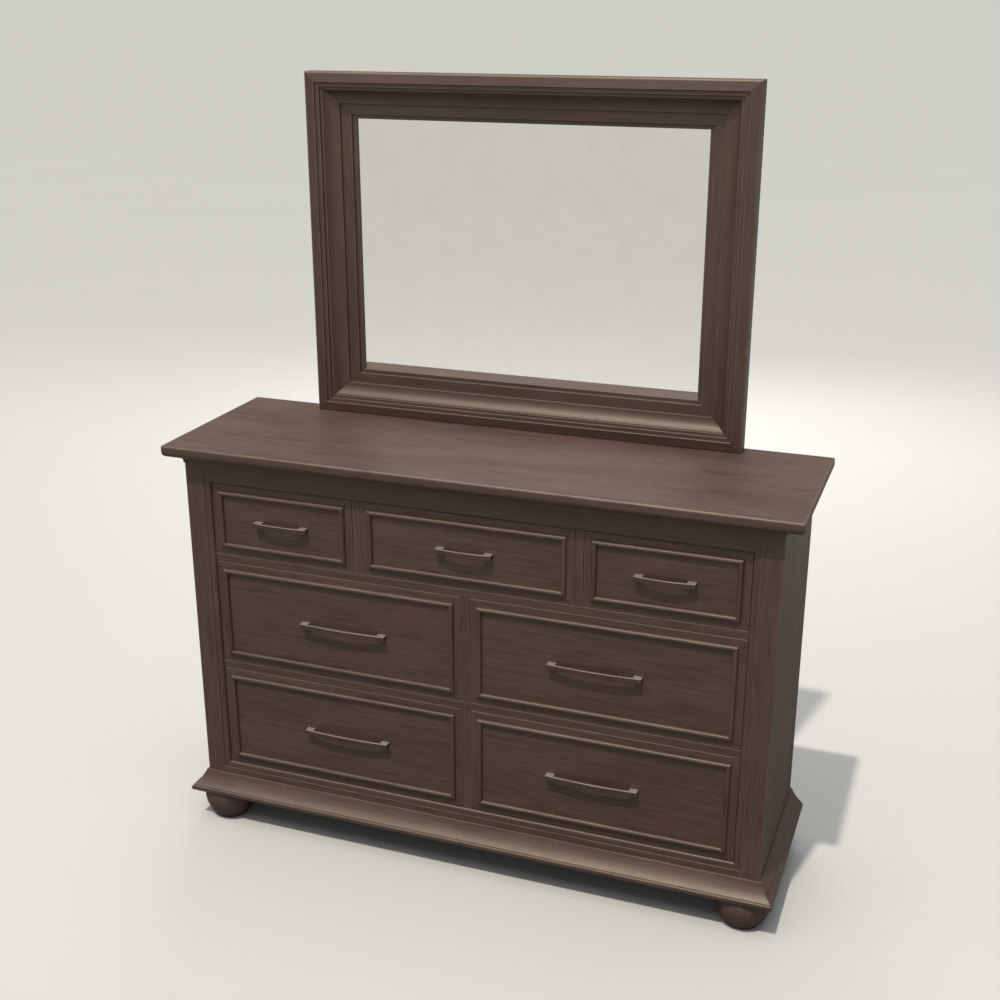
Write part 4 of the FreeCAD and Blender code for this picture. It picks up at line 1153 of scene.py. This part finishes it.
studio = {  # what the eye sees of the floor, what it throws back, and what reflections show of it
    "floorColour": (0.70, 0.69, 0.675), "floorFar": (0.95, 0.94, 0.92), "floorFade": (1.5, 6.0),
    "floorShade": (0.3, 0.7, 0.985, 1.0), "floorRoughness": 0.9, "floorSize": 6000.0,
    "floorBounce": (0.12, 0.115, 0.11), "floorNear": (0.27, 0.26, 0.25), "floorGloss": (0.92, 0.90, 0.88),
    "glossAhead": (3.0, 3.9), "glossBehind": (1.8, 3.4),
    "backdropColour": (0.625, 0.622, 0.575), "skyColour": (0.80, 0.92, 1.0), "skyFill": 0.20,
    "skyGloss": 0.50,
}
lamps = {
    "key": {"kind": "SUN", "energy": 1.8, "angle": math.radians(1.5), "color": (1.0, 0.95, 0.85)},
    "softbox": {"kind": "AREA", "energy": 76, "size": 4.2, "color": (1.0, 0.965, 0.90)},
    "rearFill": {"kind": "AREA", "energy": 60, "size": 3.0, "color": (1.0, 0.98, 0.95)},
}
lampPlaces = {"key": (-0.2, -1.0, 2.25), "softbox": (0, -0.7, 3.4), "rearFill": (-0.7, 3.4, 2.6)}
camera = {"place": (1.08728, -2.92655, 2.03028), "azimuth": 20.149, "down": 19.888, "lens": 50, "sensor": 36}


def seenDirectly(tree):
    path = tree.nodes.new("ShaderNodeLightPath").outputs
    return calc(tree, "MAXIMUM", path["Is Camera Ray"], path["Is Transmission Ray"]), path["Is Glossy Ray"]


def buildFloor():
    s = studio
    half = s["floorSize"] / 2
    mesh = bpy.data.meshes.new("floor")
    corners = [(-half, -half, 0), (half, -half, 0), (half, half, 0), (-half, half, 0)]
    mesh.from_pydata(corners, [], [(0, 1, 2, 3)])
    material, tree, shader = startMaterial("floorPaper")
    place = addNode(tree, "ShaderNodeTexCoord").outputs["Object"]
    distance = addNode(tree, "ShaderNodeVectorMath", {0: place}, operation="LENGTH").outputs["Value"]
    colour = mixColour(tree, remap(tree, distance, *s["floorFade"]), s["floorColour"], s["floorFar"])
    shade = remap(tree, noise(tree, place, 3.0, 0.5, 0.6), *s["floorShade"])
    colour = mixColour(tree, shade, (0, 0, 0), colour)
    back = parts(tree, place)[1]
    ahead = remap(tree, scaled(tree, back, -1.0), *s["glossAhead"])
    far = calc(tree, "MAXIMUM", ahead, remap(tree, back, *s["glossBehind"]))
    seen, glossy = seenDirectly(tree)
    unseen = mixColour(tree, glossy, s["floorBounce"], mixColour(tree, far, s["floorNear"], s["floorGloss"]))
    colour = mixColour(tree, seen, unseen, colour)  # pale to the eye, little light thrown back
    fill(tree, shader, {"Base Color": colour, "Roughness": s["floorRoughness"]})
    mesh.materials.append(material)
    floor = bpy.data.objects.new("floor", mesh)
    bpy.context.scene.collection.objects.link(floor)


def dimmed(colour, level):
    return tuple(part * studio[level] for part in studio[colour])


def buildBackdrop():
    world = bpy.data.worlds.new("studio")
    bpy.context.scene.world = world
    world.use_nodes = True
    tree = world.node_tree
    tree.nodes.clear()
    seen, glossy = seenDirectly(tree)
    glow = mixColour(tree, glossy, dimmed("skyColour", "skyFill"), dimmed("backdropColour", "skyGloss"))
    sky = made(tree, "ShaderNodeBackground", {"Color": mixColour(tree, seen, glow, studio["backdropColour"])})
    tree.links.new(sky, tree.nodes.new("ShaderNodeOutputWorld").inputs[0])


def pointed(thing, place, ahead):
    thing.location = place
    thing.rotation_mode = "QUATERNION"
    thing.rotation_quaternion = ahead.to_track_quat("-Z", "Y")
    bpy.context.scene.collection.objects.link(thing)
    return thing


def buildLamps():
    for name, settings in lamps.items():
        light = bpy.data.lights.new(name, settings["kind"])
        for key, value in settings.items():
            if key != "kind":
                setattr(light, key, value)
        place = Vector(lampPlaces[name])
        lamp = pointed(bpy.data.objects.new(name, light), place, -place)  # aimed at the object's foot
        lamp.visible_camera = lamp.visible_glossy = name != "rearFill"


def buildCamera():
    data = bpy.data.cameras.new("camera")
    data.lens, data.sensor_width = camera["lens"], camera["sensor"]
    side, down = math.radians(camera["azimuth"]), math.radians(camera["down"])
    ahead = Vector((-math.sin(side) * math.cos(down), math.cos(side) * math.cos(down), -math.sin(down)))
    eye = pointed(bpy.data.objects.new("camera", data), camera["place"], ahead)
    bpy.context.scene.camera = eye


buildFloor()
buildBackdrop()
buildLamps()
buildCamera()
bpy.context.scene.view_settings.view_transform = "Standard"
print("studio set")
